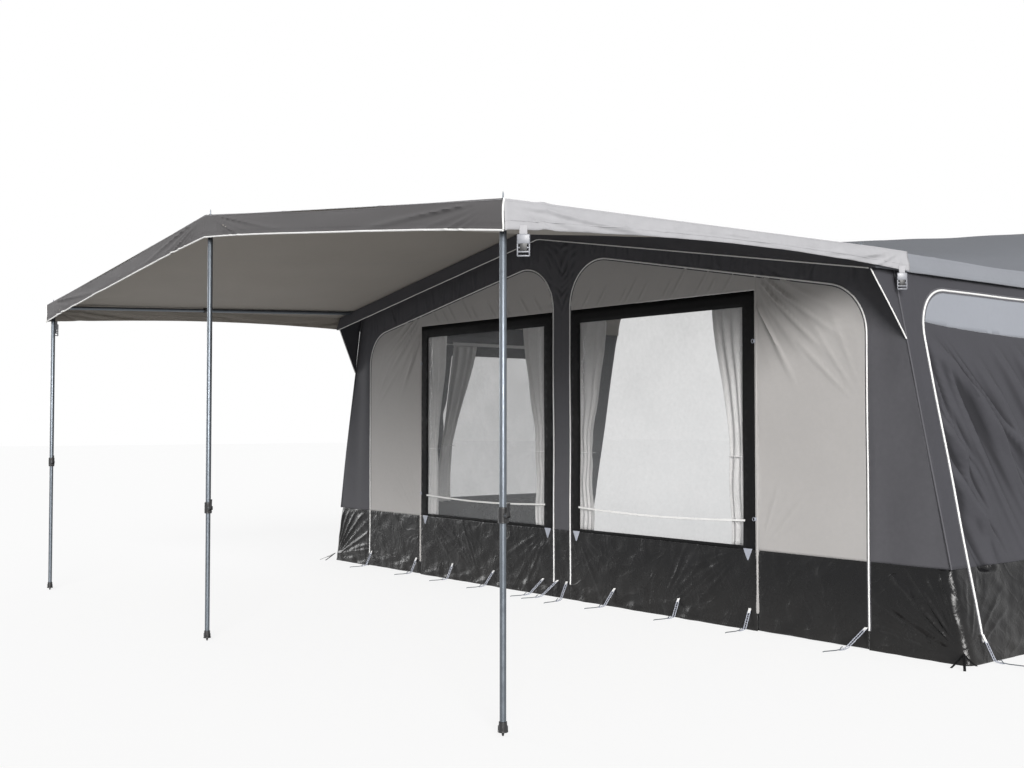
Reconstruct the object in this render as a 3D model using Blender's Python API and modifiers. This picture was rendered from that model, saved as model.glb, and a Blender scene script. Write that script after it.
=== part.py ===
"""Caravan awning with a sun canopy, standing on its own frame.

Metres, +Z up. The front faces -Y and the caravan's side is at +Y. The origin is on the
ground, in the middle of the outer box. A gable roof on a tube frame covers a room whose
walls hang to the ground, and a lower sheet on three telescopic legs shades its front.
"""
import math

import bmesh
import bpy
from mathutils import Matrix, Vector

# Cloth and clearances
cloth = 0.002
foil = 0.001
gap = 0.0003
seam = 0.0006
weld = 0.00001

# Plan and heights of the room
awning_depth = 3.0
peak_height = 2.50
eave_height = 2.05
eave_half_width = 2.57
base_half_width = 2.97
wall_tuck = 0.015
rail_height = 2.53
rail_corner = 0.62
overhang = 0.20
level_behind_wall = 0.05
roof_sag = 0.03
band_drop = 0.10
band_clear = 0.01
band_lean = 0.01

# Sun canopy
canopy_reach = 2.58
canopy_side_margin = 0.015
canopy_peak = 2.305
canopy_corner = 2.015
canopy_sag = 0.06
canopy_lift = 0.0085
canopy_overlap = 0.06
canopy_front_clear = 0.02
valance_drop = 0.12
valance_bow = 0.022
side_drop_front = 0.115
side_drop_rear = 0.10
side_drop_bow = 0.04
side_flare = 0.01

# Front wall
column_half = 0.085
door_width = 0.735
corner_column = 0.16
head_band_middle = 0.176
head_band_eave = 0.2
header_height = 0.084
shoulder_clear = 0.0175
inner_arch_radius = 0.30
outer_arch_radius = 0.28
mud_height = 0.455
flap_lift = 0.006
frame_side = 0.10
frame_head = 0.09
frame_foot = 0.02

# Side walls
side_zip = 0.16
side_head_band = 0.17
side_arch_radius = 0.28
side_rear_clear = 0.03
side_window_start = 0.98
side_window_end = 2.62
side_window_header = 0.10
side_window_foot = 0.50
gusset_foot = 1.60
gusset_clear = 0.0025

# Curtains
curtain_rise = -0.03
curtain_foot = 0.47
heading_height = 0.03
curtain_inset = 0.02
curtain_top_width = 0.26
curtain_tie_width = 0.12
curtain_foot_width = 0.17
curtain_tie_height = 0.98
curtain_fold = 0.03
curtain_folds = 4
curtain_fold_steps = 6
curtain_clear = 0.004
side_curtain_fold = 0.022

# Tubes
tube_radius = 0.014
tube_wall = 0.0012
tube_plug = 0.012
button_radius = 0.003
button_from_end = 0.06
tube_sides = 16

# Legs
canopy_leg_inset = 0.045
canopy_leg_behind = 0.035
awning_leg_inset = 0.21
awning_leg_behind = 0.03
spike_radius = 0.003
spike_hole_radius = 0.0036
spike_above = 0.033
tube_overlap = 0.42
foot_radius = 0.02
foot_height = 0.03
foot_flange = 0.004
foot_stub_radius = 0.005
foot_stub = 0.014
foot_collar_radius = 0.016
awning_clamp_height = 0.90

# Clamps on the canopy legs
clamp_heights = {"left": 0.90, "middle": 0.715, "right": 0.825}
clamp_radius = 0.020
clamp_half = 0.030
ear_reach = 0.036
ear_thickness = 0.004
ear_half_height = 0.009
lever_pivot_reach = 0.028
pin_radius = 0.002
lever_barrel_radius = 0.0055
lever_width = 0.014
lever_length = 0.046
lever_thickness = 0.005

# Pole ends
eye_thickness = 0.003
eye_width = 0.024
ridge_eye_width = 0.014
eye_hole_radius = 0.0036
eye_reach = 0.045
first_eye_drop = 0.0195
eye_pitch = 0.009
eye_rest = 0.0043
strap_clear = 0.0004
strap_reach = 0.25
strap_bite = 0.012
side_pole_joint = 1.12
side_pole_overlap = 0.22
pole_clamp_radius = 0.0168
pole_clamp_length = 0.05
rear_drop = 0.045
pad_width = 0.07
pad_height = 0.05
pad_thickness = 0.008
pad_rise = 0.012

# Rail bead
bead_radius = 0.004

# Places worked out from the sizes
front_y = -(canopy_reach + awning_depth) / 2
wall_y = front_y + canopy_reach
rear_y = wall_y + awning_depth
roof_front_y = wall_y - overhang
roof_slope = (peak_height - eave_height) / eave_half_width
roof_angle = math.atan(roof_slope)
rail_half_flat = eave_half_width - rail_corner
awning_leg_x = eave_half_width - awning_leg_inset
outer_zip = eave_half_width - corner_column
flap_zip = outer_zip - door_width
arch_crown = peak_height - head_band_middle
arch_slope = roof_slope + (head_band_eave - head_band_middle) / outer_zip
arch_angle = math.atan(arch_slope)
arch_shoulder_x = column_half + inner_arch_radius
arch_shoulder = arch_crown - arch_slope * arch_shoulder_x - inner_arch_radius / math.cos(arch_angle)
header_end = arch_crown - arch_slope * flap_zip
window_top = min(arch_shoulder - shoulder_clear, header_end - header_height)
curtain_head = window_top + curtain_rise
side_arch_height = eave_height - side_head_band
side_window_head = side_arch_height - side_window_header
wall_head_half_width = eave_half_width - wall_tuck
wall_angle = math.atan((base_half_width - wall_head_half_width) / eave_height)
band_flare = band_drop * math.tan(wall_angle) + band_clear
canopy_half_width = eave_half_width + band_flare + canopy_side_margin
canopy_slope = (canopy_peak - canopy_corner) / canopy_half_width
canopy_leg_x = canopy_half_width - canopy_leg_inset
pole_bow = max(0.0, (roof_slope - canopy_slope) * (canopy_leg_x - awning_leg_x) / 4)
canopy_eye_drop = first_eye_drop + 2 * pole_bow
inner_tube_radius = tube_radius - tube_wall - gap
tube_bore = tube_radius - tube_wall
roof_underside = cloth / 2 / math.cos(roof_angle) + seam

# Shares along the slopes
flat_column_shares = (0.0, 0.25, 0.5, 0.75)
corner_turns = 4
canopy_column_shares = (0.0, 0.14, 0.3, 0.46, 0.62, 0.78, 0.9, 1.0)
canopy_row_shares = (0.0, 0.12, 0.25, 0.38, 0.5, 0.62, 0.75, 0.88, 1.0)
roof_row_shares = (0.2, 0.4, 0.6, 0.8, 1.0)
curtain_row_shares = (0.0, 0.12, 0.28, 0.45, 0.62, 0.8, 1.0)


def clear_scene():
    """Remove what the scene holds."""
    for item in list(bpy.data.objects):
        bpy.data.objects.remove(item, do_unlink=True)


def make_collection(name):
    """Return a new collection in the scene."""
    group = bpy.data.collections.new(name)
    bpy.context.scene.collection.children.link(group)
    return group


def make_material(name, colour, roughness, metallic=0.0, alpha=1.0):
    """Return a Principled material."""
    material = bpy.data.materials.new(name)
    material.use_nodes = True
    shader = material.node_tree.nodes["Principled BSDF"]
    shader.inputs["Base Color"].default_value = (*colour, 1.0)
    shader.inputs["Roughness"].default_value = roughness
    shader.inputs["Metallic"].default_value = metallic
    shader.inputs["Alpha"].default_value = alpha
    return material


looks = {
    "charcoal": ((0.075, 0.075, 0.08), 0.75),
    "valance": ((0.16, 0.16, 0.17), 0.7),
    "silver": ((0.6, 0.6, 0.61), 0.6),
    "roof_grey": ((0.24, 0.25, 0.27), 0.7),
    "greige": ((0.5, 0.48, 0.46), 0.7),
    "black_coated": ((0.012, 0.012, 0.013), 0.35),
    "window_black": ((0.01, 0.01, 0.01), 0.6),
    "clear_foil": ((0.8, 0.82, 0.84), 0.08, 0.0, 0.25),
    "satin": ((0.72, 0.7, 0.67), 0.45),
    "steel": ((0.55, 0.58, 0.6), 0.3, 1.0),
    "black_plastic": ((0.02, 0.02, 0.02), 0.45),
}


def add_object(name, data, look, group="parts"):
    """Link data as a named object with its own material."""
    item = bpy.data.objects.new(name, data)
    collections[group].objects.link(item)
    if group == "parts":
        item.data.materials.append(make_material(name, *looks[look]))
    else:
        item.hide_render = True
        item.display_type = "WIRE"
    return item


def arc(centre_x, centre_y, radius, start, end, steps=8):
    """Points of an arc, angles in degrees."""
    points = []
    for step in range(steps + 1):
        angle = math.radians(start + (end - start) * step / steps)
        points.append((centre_x + radius * math.cos(angle), centre_y + radius * math.sin(angle)))
    return points


def flip(points, side):
    """Mirror outline points to the left where side is -1."""
    return [(side * x, y) for x, y in points]


def rectangle(left, bottom, right, top):
    """Corner points of a rectangle."""
    return [(left, bottom), (right, bottom), (right, top), (left, top)]


def flat_curve(name, outlines, thickness):
    """Return 2D curve data of flat outlines with a thickness."""
    curve = bpy.data.curves.new(name, "CURVE")
    curve.dimensions = "2D"
    curve.fill_mode = "BOTH"
    curve.extrude = thickness / 2
    for outline in outlines:
        spline = curve.splines.new("POLY")
        spline.points.add(len(outline) - 1)
        for point, (x, y) in zip(spline.points, outline):
            point.co = (x, y, 0, 1)
        spline.use_cyclic_u = True
    return curve


def panel(name, outlines, place, look, thickness=cloth, group="parts"):
    """A flat piece cut to outlines, in the plane that place gives."""
    item = add_object(name, flat_curve(name, outlines, thickness), look, group)
    item.matrix_world = place
    return item


def front_plane(y=0.0):
    """Plane of the front wall: across and up."""
    return Matrix.Translation((0, wall_y + y, 0)) @ Matrix.Rotation(math.pi / 2, 4, "X")


def side_plane(side, inward=0.0):
    """Plane of a side wall: back from the front wall, and up along its slope."""
    along = Vector((0, 1, 0))
    upward = Vector((-side * math.sin(wall_angle), 0, math.cos(wall_angle)))
    out = along.cross(upward)
    place = Matrix((along, upward, out)).transposed().to_4x4()
    normal = Vector((side * math.cos(wall_angle), 0, math.sin(wall_angle)))
    place.translation = Vector((side * base_half_width, wall_y, 0)) - normal * inward
    return place


def up_side(height):
    """Length along the side wall's slope for a height."""
    return height / math.cos(wall_angle)


def wall_x(height):
    """Half width of the room at a height."""
    return base_half_width - (base_half_width - wall_head_half_width) * height / eave_height


def mesh_from(name, vertices, edges=(), faces=()):
    """Mesh data from points, edges and faces."""
    mesh = bpy.data.meshes.new(name)
    mesh.from_pydata(vertices, edges, faces)
    return mesh


def turned(name, profile, look, group="parts", closed=False, sides=tube_sides):
    """A turned piece: the profile runs down its outer side."""
    vertices = [(radius, 0, height) for radius, height in profile]
    count = len(vertices)
    edges = [(k, k + 1) for k in range(count - 1)]
    if closed:
        edges.append((count - 1, 0))
    item = add_object(name, mesh_from(name, vertices, edges), look, group)
    screw = item.modifiers.new("turn", "SCREW")
    screw.steps = sides
    screw.render_steps = sides
    screw.use_merge_vertices = True
    screw.merge_threshold = weld
    screw.use_smooth_shade = False
    return item


def rod(name, radius, length, look="steel", group="cutters", sides=tube_sides):
    """A round bar along +X from its origin."""
    mesh = bpy.data.meshes.new(name)
    form = bmesh.new()
    bmesh.ops.create_cone(form, cap_ends=True, segments=sides, radius1=radius,
                          radius2=radius, depth=length)
    lay = Matrix.Translation((length / 2, 0, 0)) @ Matrix.Rotation(math.pi / 2, 4, "Y")
    bmesh.ops.transform(form, matrix=lay, verts=form.verts)
    form.to_mesh(mesh)
    form.free()
    return add_object(name, mesh, look, group)


def block(name, low, high, look="black_plastic", group="cutters"):
    """A box between two corners."""
    mesh = bpy.data.meshes.new(name)
    form = bmesh.new()
    bmesh.ops.create_cube(form, size=1)
    size = [b - a for a, b in zip(low, high)]
    middle = [(a + b) / 2 for a, b in zip(low, high)]
    bmesh.ops.scale(form, vec=size, verts=form.verts)
    bmesh.ops.translate(form, vec=middle, verts=form.verts)
    form.to_mesh(mesh)
    form.free()
    return add_object(name, mesh, look, group)


def combine(item, other, operation):
    """Join other to item or cut it from item."""
    boolean = item.modifiers.new(operation.lower(), "BOOLEAN")
    boolean.operation = operation
    boolean.object = other
    boolean.solver = "EXACT"


def as_mesh(item):
    """Turn a filled curve object into a mesh object with welded caps."""
    bpy.context.view_layer.update()
    evaluated = item.evaluated_get(bpy.context.evaluated_depsgraph_get())
    mesh = bpy.data.meshes.new_from_object(evaluated)
    form = bmesh.new()
    form.from_mesh(mesh)
    bmesh.ops.remove_doubles(form, verts=form.verts, dist=weld)
    bmesh.ops.recalc_face_normals(form, faces=form.faces)
    form.to_mesh(mesh)
    form.free()
    name = item.name
    place = item.matrix_world.copy()
    group = item.users_collection[0]
    bpy.data.objects.remove(item, do_unlink=True)
    solid = bpy.data.objects.new(name, mesh)
    group.objects.link(solid)
    solid.matrix_world = place
    solid.hide_render = True
    solid.display_type = "WIRE"
    return solid


def smooth(item, angle=40):
    """Shade a round piece smooth."""
    item.data.shade_smooth()
    item.data.set_sharp_from_angle(angle=math.radians(angle))


# Roof surfaces
def roof_columns():
    """Half widths of the roof's columns, from the ridge to the eave."""
    columns = [share * rail_half_flat for share in flat_column_shares]
    reach = eave_half_width - rail_half_flat
    for turn in range(corner_turns + 1):
        columns.append(rail_half_flat + reach * math.sin(math.pi / 2 * turn / corner_turns))
    return columns


def rear_profile(x):
    """Height of the rear edge: a flat rail with rounded corners."""
    reach = eave_half_width - rail_half_flat
    past = max(0.0, min(1.0, (x - rail_half_flat) / reach))
    return eave_height + (rail_height - eave_height) * math.sqrt(1 - past * past)


def column_height(x, y):
    """Height of the roof's middle surface over one of its columns."""
    start = wall_y + level_behind_wall
    share = max(0.0, min(1.0, (y - start) / (rear_y - start)))
    front = peak_height - roof_slope * x
    across = math.sin(math.pi * min(1.0, x / rail_half_flat))
    sag = roof_sag * across * math.sin(math.pi * share)
    return front + (rear_profile(x) - front) * share - sag


def roof_height(x, y):
    """Height of the roof's middle surface anywhere, straight between its columns."""
    x = abs(x)
    columns = roof_columns()
    for low, high in zip(columns, columns[1:]):
        if x <= high:
            break
    share = (x - low) / (high - low)
    return column_height(low, y) * (1 - share) + column_height(high, y) * share


def canopy_height(x, y):
    """Height of the canopy's middle surface."""
    x = abs(x)
    end = roof_front_y - canopy_front_clear
    share = max(0.0, min(1.0, (y - front_y) / (end - front_y)))
    front = canopy_peak - canopy_slope * x
    rear = peak_height + canopy_lift - roof_slope * x
    across = math.sin(math.pi * min(1.0, x / awning_leg_x))
    sag = canopy_sag * across * math.sin(math.pi * share)
    return front + (rear - front) * share - sag


def draped(name, columns, rows, height, side_hem, front_hem, look):
    """A sheet over columns and rows, with hems hanging at its sides and its front."""
    full = [-x for x in reversed(columns[1:])] + list(columns)
    last = len(full) - 1
    form = bmesh.new()
    top = {}
    for j, y in enumerate(rows):
        for i, x in enumerate(full):
            top[i, j] = form.verts.new((x, y, height(abs(x), y)))
    for j in range(len(rows) - 1):
        for i in range(last):
            form.faces.new((top[i, j], top[i + 1, j], top[i + 1, j + 1], top[i, j + 1]))
    sides = {}
    for i, sign in ((0, -1), (last, 1)):
        for j, y in enumerate(rows):
            flare, drop = side_hem(y)
            lean = front_hem[0] if front_hem and j == 0 else 0.0
            corner = top[i, j].co
            sides[i, j] = form.verts.new((corner.x + sign * flare, y - lean, corner.z - drop))
        for j in range(len(rows) - 1):
            ring = [top[i, j], top[i, j + 1], sides[i, j + 1], sides[i, j]]
            form.faces.new(ring if sign > 0 else ring[::-1])
    if front_hem:
        lean, drop = front_hem
        hem = {0: sides[0, 0], last: sides[last, 0]}
        for i in range(1, last):
            corner = top[i, 0].co
            hem[i] = form.verts.new((corner.x, corner.y - lean, corner.z - drop))
        for i in range(last):
            form.faces.new((top[i, 0], hem[i], hem[i + 1], top[i + 1, 0]))
    bmesh.ops.recalc_face_normals(form, faces=form.faces)
    mesh = bpy.data.meshes.new(name)
    form.to_mesh(mesh)
    form.free()
    item = add_object(name, mesh, look)
    thicken(item, cloth)
    return item


def thicken(item, thickness):
    """Give an open surface its thickness, half to each side."""
    solidify = item.modifiers.new("thickness", "SOLIDIFY")
    solidify.thickness = thickness
    solidify.offset = 0
    solidify.use_even_offset = True


def spike_hole(item, name, x, y, low, high):
    """Cut a round hole for a spike."""
    cutter = rod(name, spike_hole_radius, high - low)
    cutter.matrix_world = Matrix.Translation((x, y, low)) @ Matrix.Rotation(-math.pi / 2, 4, "Y")
    combine(item, cutter, "DIFFERENCE")


def side_hem_canopy(y):
    """Flare and drop of the canopy's side hem."""
    end = wall_y + canopy_overlap
    share = (y - front_y) / (end - front_y)
    drop = side_drop_front + (side_drop_rear - side_drop_front) * share
    return side_flare, drop - side_drop_bow * math.sin(math.pi * share)


def side_hem_roof(y):
    """Flare and drop of the roof's side band."""
    return band_flare, band_drop


def make_roofs():
    """The two roof sheets, the canopy's front valance and the bead in the caravan's rail."""
    rows = [roof_front_y, wall_y, wall_y + level_behind_wall]
    rear_edge = rear_y - 2 * bead_radius - seam
    for share in roof_row_shares:
        rows.append(rows[2] + (rear_edge - rows[2]) * share)
    roof = draped("awning_roof", roof_columns(), rows, column_height, side_hem_roof,
                  (band_lean, band_drop), "roof_grey")
    columns = [share * canopy_half_width for share in canopy_column_shares]
    start = front_y + cloth + gap
    end = roof_front_y - canopy_front_clear
    rows = [start + (end - start) * share for share in canopy_row_shares]
    rows.append(wall_y + canopy_overlap)
    canopy = draped("canopy_roof", columns, rows, canopy_height, side_hem_canopy, None, "silver")
    margin = 2 * eye_pitch
    for side, x in (("left", -awning_leg_x), ("middle", 0.0), ("right", awning_leg_x)):
        y = wall_y + awning_leg_behind
        low = roof_height(x, y)
        spike_hole(roof, "roof_hole_" + side, x, y, low - margin, low + margin)
        spike_hole(canopy, "canopy_rear_hole_" + side, x, y, low - margin, low + 2 * margin)
    for side, x, y in canopy_leg_places():
        low = canopy_height(x, y)
        spike_hole(canopy, "canopy_hole_" + side, x, y, low - margin, low + margin)
    make_valance(columns)
    make_bead()


def make_valance(columns):
    """The strip that hangs along the canopy's front edge, its lower edge drawn up."""
    full = [-x for x in reversed(columns[1:])] + list(columns)
    top = [(x, canopy_height(x, front_y) + cloth / 2) for x in full]
    foot = []
    for x, z in reversed(top):
        bow = valance_bow * math.sin(math.pi * abs(x) / canopy_half_width)
        foot.append((x, z - valance_drop + bow))
    place = front_plane(front_y - wall_y + cloth / 2)
    panel("canopy_front_valance", [top + foot], place, "valance")


def make_bead():
    """The round bead along the roof's rear edge, which slides into the caravan's rail."""
    columns = roof_columns()
    full = [-x for x in reversed(columns[1:])] + list(columns)
    curve = bpy.data.curves.new("rail_bead", "CURVE")
    curve.dimensions = "3D"
    curve.bevel_depth = bead_radius
    curve.bevel_resolution = 2
    curve.use_fill_caps = True
    spline = curve.splines.new("POLY")
    spline.points.add(len(full) - 1)
    y = rear_y - bead_radius
    for point, x in zip(spline.points, full):
        point.co = (x, y, column_height(abs(x), rear_y), 1)
    add_object("rail_bead", curve, "black_coated")


# Front wall
def arch_line(x, inset):
    """Height of the opening's slanted head, drawn in by inset."""
    return arch_crown - arch_slope * x - inset / math.cos(arch_angle)


def inner_arch(inset):
    """Arc beside the middle column, from the column up to the slanted head."""
    x = column_half + inner_arch_radius
    z = arch_line(x, inner_arch_radius)
    turn = 90 - math.degrees(arch_angle)
    return arc(x, z, inner_arch_radius - inset, 180, turn)


def outer_arch(inset):
    """Arc at the outer corner, from the slanted head down to the outer zip."""
    x = outer_zip - outer_arch_radius
    z = arch_line(x, outer_arch_radius)
    turn = 90 - math.degrees(arch_angle)
    return arc(x, z, outer_arch_radius - inset, turn, 0)


def make_surround():
    """Head band, middle column and corner columns of the front wall, in one piece."""
    foot = mud_height + gap
    edge = cloth / 2 / math.cos(wall_angle)
    head = eave_height - roof_underside
    half = [(column_half, foot)] + inner_arch(0.0) + outer_arch(0.0) + [(outer_zip, foot)]
    half.append((wall_x(foot) + edge, foot))
    half.append((wall_x(head) + edge, roof_height(wall_x(head) + edge, wall_y) - roof_underside))
    for x in reversed(roof_columns()):
        if x < wall_x(head):
            half.append((x, roof_height(x, wall_y) - roof_underside))
    mirrored = [(-x, z) for x, z in reversed(half) if x > 0]
    panel("front_surround", [half + mirrored], front_plane(), "charcoal")


def make_windows(side, word):
    """Header, black frame, clear pane and skirt of one window section."""
    place = front_plane()
    left = column_half + gap
    right = flap_zip - gap
    header = [(left, window_top + gap)] + inner_arch(gap) + [(right, arch_line(right, gap))]
    header.append((right, window_top + gap))
    panel("window_header_" + word, [flip(header, side)], place, "greige")
    outer = rectangle(left, mud_height + gap, right, window_top)
    low = mud_height + frame_foot
    inner = rectangle(left + frame_side, low, right - frame_side, window_top - frame_head)
    panel("window_frame_" + word, [flip(outer, side), flip(inner, side)], place, "window_black")
    pane = rectangle(left + frame_side + gap, low + gap, right - frame_side - gap,
                     window_top - frame_head - gap)
    panel("window_pane_" + word, [flip(pane, side)], place, "clear_foil", foil)
    skirt = rectangle(left, 0.0, right, mud_height)
    panel("mud_wall_window_" + word, [flip(skirt, side)], place, "black_coated")


def make_door(side, word):
    """Door flap with its skirt, hung on the zip beside the window."""
    hinge = bpy.data.objects.new("door_hinge_" + word, None)
    collections["parts"].objects.link(hinge)
    hinge.location = (side * (flap_zip + gap), wall_y - cloth / 2, 0)
    place = Matrix.Translation((0, cloth / 2, 0)) @ Matrix.Rotation(math.pi / 2, 4, "X")
    width = outer_zip - flap_zip - 2 * gap
    head = [(x - flap_zip - gap, z) for x, z in outer_arch(gap)]
    flap = [(0.0, arch_line(flap_zip + gap, gap))] + head
    flap += [(width, mud_height + gap), (0.0, mud_height + gap)]
    skirt = rectangle(0.0, flap_lift, width, mud_height)
    for name, outline, look in (("door_panel_", flap, "greige"), ("door_skirt_", skirt, "black_coated")):
        item = add_object(name + word, flat_curve(name, [flip(outline, side)], cloth), look)
        item.parent = hinge
        item.matrix_local = place


def make_front():
    """The whole front wall."""
    make_surround()
    panel("mud_wall_centre", [rectangle(gap - column_half, 0.0, column_half - gap, mud_height)],
          front_plane(), "black_coated")
    for side, word in ((-1, "left"), (1, "right")):
        make_windows(side, word)
        make_door(side, word)


# Side walls
def side_arch(inset):
    """Opening of a side wall, from its front foot round to its rear foot."""
    start = side_zip + inset
    end = awning_depth - side_rear_clear - side_zip - inset
    head = up_side(side_arch_height)
    radius = side_arch_radius - inset
    foot = up_side(mud_height + gap)
    front = arc(side_zip + side_arch_radius, head - side_arch_radius, radius, 180, 90)
    rear_x = awning_depth - side_rear_clear - side_zip - side_arch_radius
    rear = arc(rear_x, head - side_arch_radius, radius, 90, 0)
    return [(start, foot)] + front + rear + [(end, foot)]


def make_side(side, word):
    """Surround, zipped panel and front gusset of one side wall."""
    place = side_plane(side)
    start = cloth / 2 + gap
    end = awning_depth - side_rear_clear
    foot = up_side(mud_height + gap)
    head = up_side(eave_height) - cloth - seam
    outline = side_arch(0.0) + [(end, foot), (end, head), (start, head), (start, foot)]
    panel("gable_surround_" + word, [outline], place, "charcoal")
    gusset_front = gusset_clear - overhang
    low = up_side(eave_height - band_drop)
    gusset = [(-start, head), (gusset_front, head), (gusset_front, low), (-start, up_side(gusset_foot))]
    panel("corner_gusset_" + word, [gusset], place, "charcoal")
    outlines = [side_arch(gap)]
    if side < 0:
        low = up_side(side_window_foot)
        high = up_side(side_window_head)
        outlines.append(rectangle(side_window_start, low, side_window_end, high))
        pane = rectangle(side_window_start + gap, low + gap, side_window_end - gap, high - gap)
        panel("gable_pane_" + word, [pane], place, "clear_foil", foil)
    panel("gable_panel_" + word, outlines, place, "charcoal")
    make_side_skirt(side, word)


def make_side_skirt(side, word):
    """Skirt from the front's outer zip round the corner to the rear."""
    end = wall_y + awning_depth - side_rear_clear
    vertices = []
    for z in (cloth / 2 * math.sin(wall_angle), mud_height):
        x = wall_x(z)
        vertices += [(side * (outer_zip + gap), wall_y, z), (side * x, wall_y, z), (side * x, end, z)]
    faces = [(0, 1, 4, 3), (1, 2, 5, 4)]
    if side < 0:
        faces = [face[::-1] for face in faces]
    name = "mud_wall_side_" + word
    item = add_object(name, mesh_from(name, vertices, (), faces), "black_coated")
    thicken(item, cloth)


# Curtains
def curtain_width(height):
    """Width of a gathered curtain at a height: full, tied in, and loose again."""
    if height > curtain_tie_height:
        share = (height - curtain_tie_height) / (curtain_head - curtain_tie_height)
        ease = share * share * (3 - 2 * share)
        return curtain_tie_width + (curtain_top_width - curtain_tie_width) * ease
    share = (curtain_tie_height - height) / (curtain_tie_height - curtain_foot)
    return curtain_tie_width + (curtain_foot_width - curtain_tie_width) * share


def curtains(name, start, end, place, depth):
    """A pair of folded curtains under one heading tape, across and up in the given plane."""
    steps = curtain_fold_steps * curtain_folds
    tape_foot = curtain_head - heading_height
    levels = [curtain_head, tape_foot]
    levels += [tape_foot - (tape_foot - curtain_foot) * share for share in curtain_row_shares[1:]]
    form = bmesh.new()
    rows = []
    for level in levels:
        width = curtain_width(level)
        hung = level < tape_foot
        row = []
        for origin, turn in ((start, 1), (end, -1)):
            half = []
            for step in range(steps + 1):
                wave = (1 - math.cos(2 * math.pi * curtain_folds * step / steps)) / 2
                across = origin + turn * width * step / steps
                back = curtain_clear + depth * wave if hung else 0.0
                half.append(form.verts.new((across, level, -back)))
            row += half if turn > 0 else half[::-1]
        rows.append(row)
    for j in range(len(rows) - 1):
        for i in range(len(rows[0]) - 1):
            if i == steps and j > 0:
                continue
            form.faces.new((rows[j][i], rows[j + 1][i], rows[j + 1][i + 1], rows[j][i + 1]))
    mesh = bpy.data.meshes.new(name)
    form.to_mesh(mesh)
    form.free()
    item = add_object(name, mesh, "satin")
    item.matrix_world = place
    thicken(item, cloth)


def make_curtains():
    """Curtains behind the two front windows and the side window."""
    behind = cloth + gap
    left = column_half + frame_side - curtain_inset
    right = flap_zip - frame_side + curtain_inset
    curtains("curtains_front_right", left, right, front_plane(behind), curtain_fold)
    curtains("curtains_front_left", -right, -left, front_plane(behind), curtain_fold)
    place = side_plane(-1, behind)
    place = place @ Matrix.Diagonal((1, 1 / math.cos(wall_angle), -1, 1))
    curtains("curtains_side_left", side_window_start, side_window_end, place, side_curtain_fold)


# Legs and clamps
def canopy_leg_places():
    """Name and plan place of the three canopy legs."""
    y = front_y + canopy_leg_behind
    return (("left", -canopy_leg_x, y), ("middle", 0.0, y), ("right", canopy_leg_x, y))


def awning_leg_places():
    """Name and plan place of the three legs behind the front wall."""
    y = wall_y + awning_leg_behind
    return (("left", -awning_leg_x, y), ("middle", 0.0, y), ("right", awning_leg_x, y))


def eye_height(surface, level, first_drop=first_eye_drop):
    """Height of a pole's eye on a spike, below the sheet."""
    return surface - first_drop - eye_pitch * level


def leg_top(surface, levels, first_drop=first_eye_drop):
    """Height of the upper tube's top, under the lowest eye."""
    return eye_height(surface, levels - 1, first_drop) - eye_rest


def upper_leg(name, x, y, top, tip, joint, collar=False):
    """Upper tube with its spike on top; collar gives it a fixed clamp at its foot."""
    profile = [(0.0, tip), (spike_radius, tip - 2 * spike_radius), (spike_radius, top)]
    profile += [(tube_radius, top)]
    if collar:
        profile += [(tube_radius, joint + clamp_half), (clamp_radius, joint + clamp_half)]
        profile += [(clamp_radius, joint - clamp_half), (tube_bore, joint - clamp_half)]
    else:
        profile += [(tube_radius, joint), (tube_bore, joint)]
    profile += [(tube_bore, top - tube_plug), (0.0, top - tube_plug)]
    item = turned(name, profile, "steel")
    item.location = (x, y, 0)
    smooth_turned(item)


def lower_leg(name, x, y, joint):
    """Lower tube with a flanged foot and a short stub."""
    head = joint + tube_overlap
    bore = inner_tube_radius - tube_wall
    base = foot_stub + foot_flange
    profile = [(0.0, base + foot_height), (bore, base + foot_height), (bore, head)]
    profile += [(inner_tube_radius, head), (inner_tube_radius, base + foot_height)]
    profile += [(foot_collar_radius, base + foot_height), (foot_collar_radius, base)]
    profile += [(foot_radius, base), (foot_radius, foot_stub), (foot_stub_radius, foot_stub)]
    profile += [(foot_stub_radius, 0.0), (0.0, 0.0)]
    item = turned(name, profile, "steel")
    item.location = (x, y, 0)
    smooth_turned(item)


def smooth_turned(item):
    """Shade the turned surface smooth between its sharp rings."""
    item.modifiers["turn"].use_smooth_shade = True


def leg_clamp(word, x, y, joint):
    """Clamp collar with two ears and a pin for its lever."""
    sleeve = tube_radius + gap
    throat = inner_tube_radius + gap
    step = -gap
    profile = [(sleeve, clamp_half), (clamp_radius, clamp_half), (clamp_radius, -clamp_half)]
    profile += [(throat, -clamp_half), (throat, step), (sleeve, step)]
    item = turned("canopy_clamp_" + word, profile, "black_plastic", closed=True)
    item.location = (x, y, joint)
    inside = lever_width / 2 + gap
    outside = inside + ear_thickness
    start = (sleeve + clamp_radius) / 2
    for sign in (-1, 1):
        low = (start, min(sign * inside, sign * outside), -ear_half_height)
        high = (ear_reach, max(sign * inside, sign * outside), ear_half_height)
        ear = block("ear_%s_%d" % (word, sign), low, high)
        ear.location = item.location
        combine(item, ear, "UNION")
    reach = inside + ear_thickness / 2
    pin = rod("pin_" + word, pin_radius, 2 * reach, sides=8)
    turn = Matrix.Rotation(math.pi / 2, 4, "Z")
    pin.matrix_world = Matrix.Translation((x + lever_pivot_reach, y - reach, joint)) @ turn
    combine(item, pin, "UNION")


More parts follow.
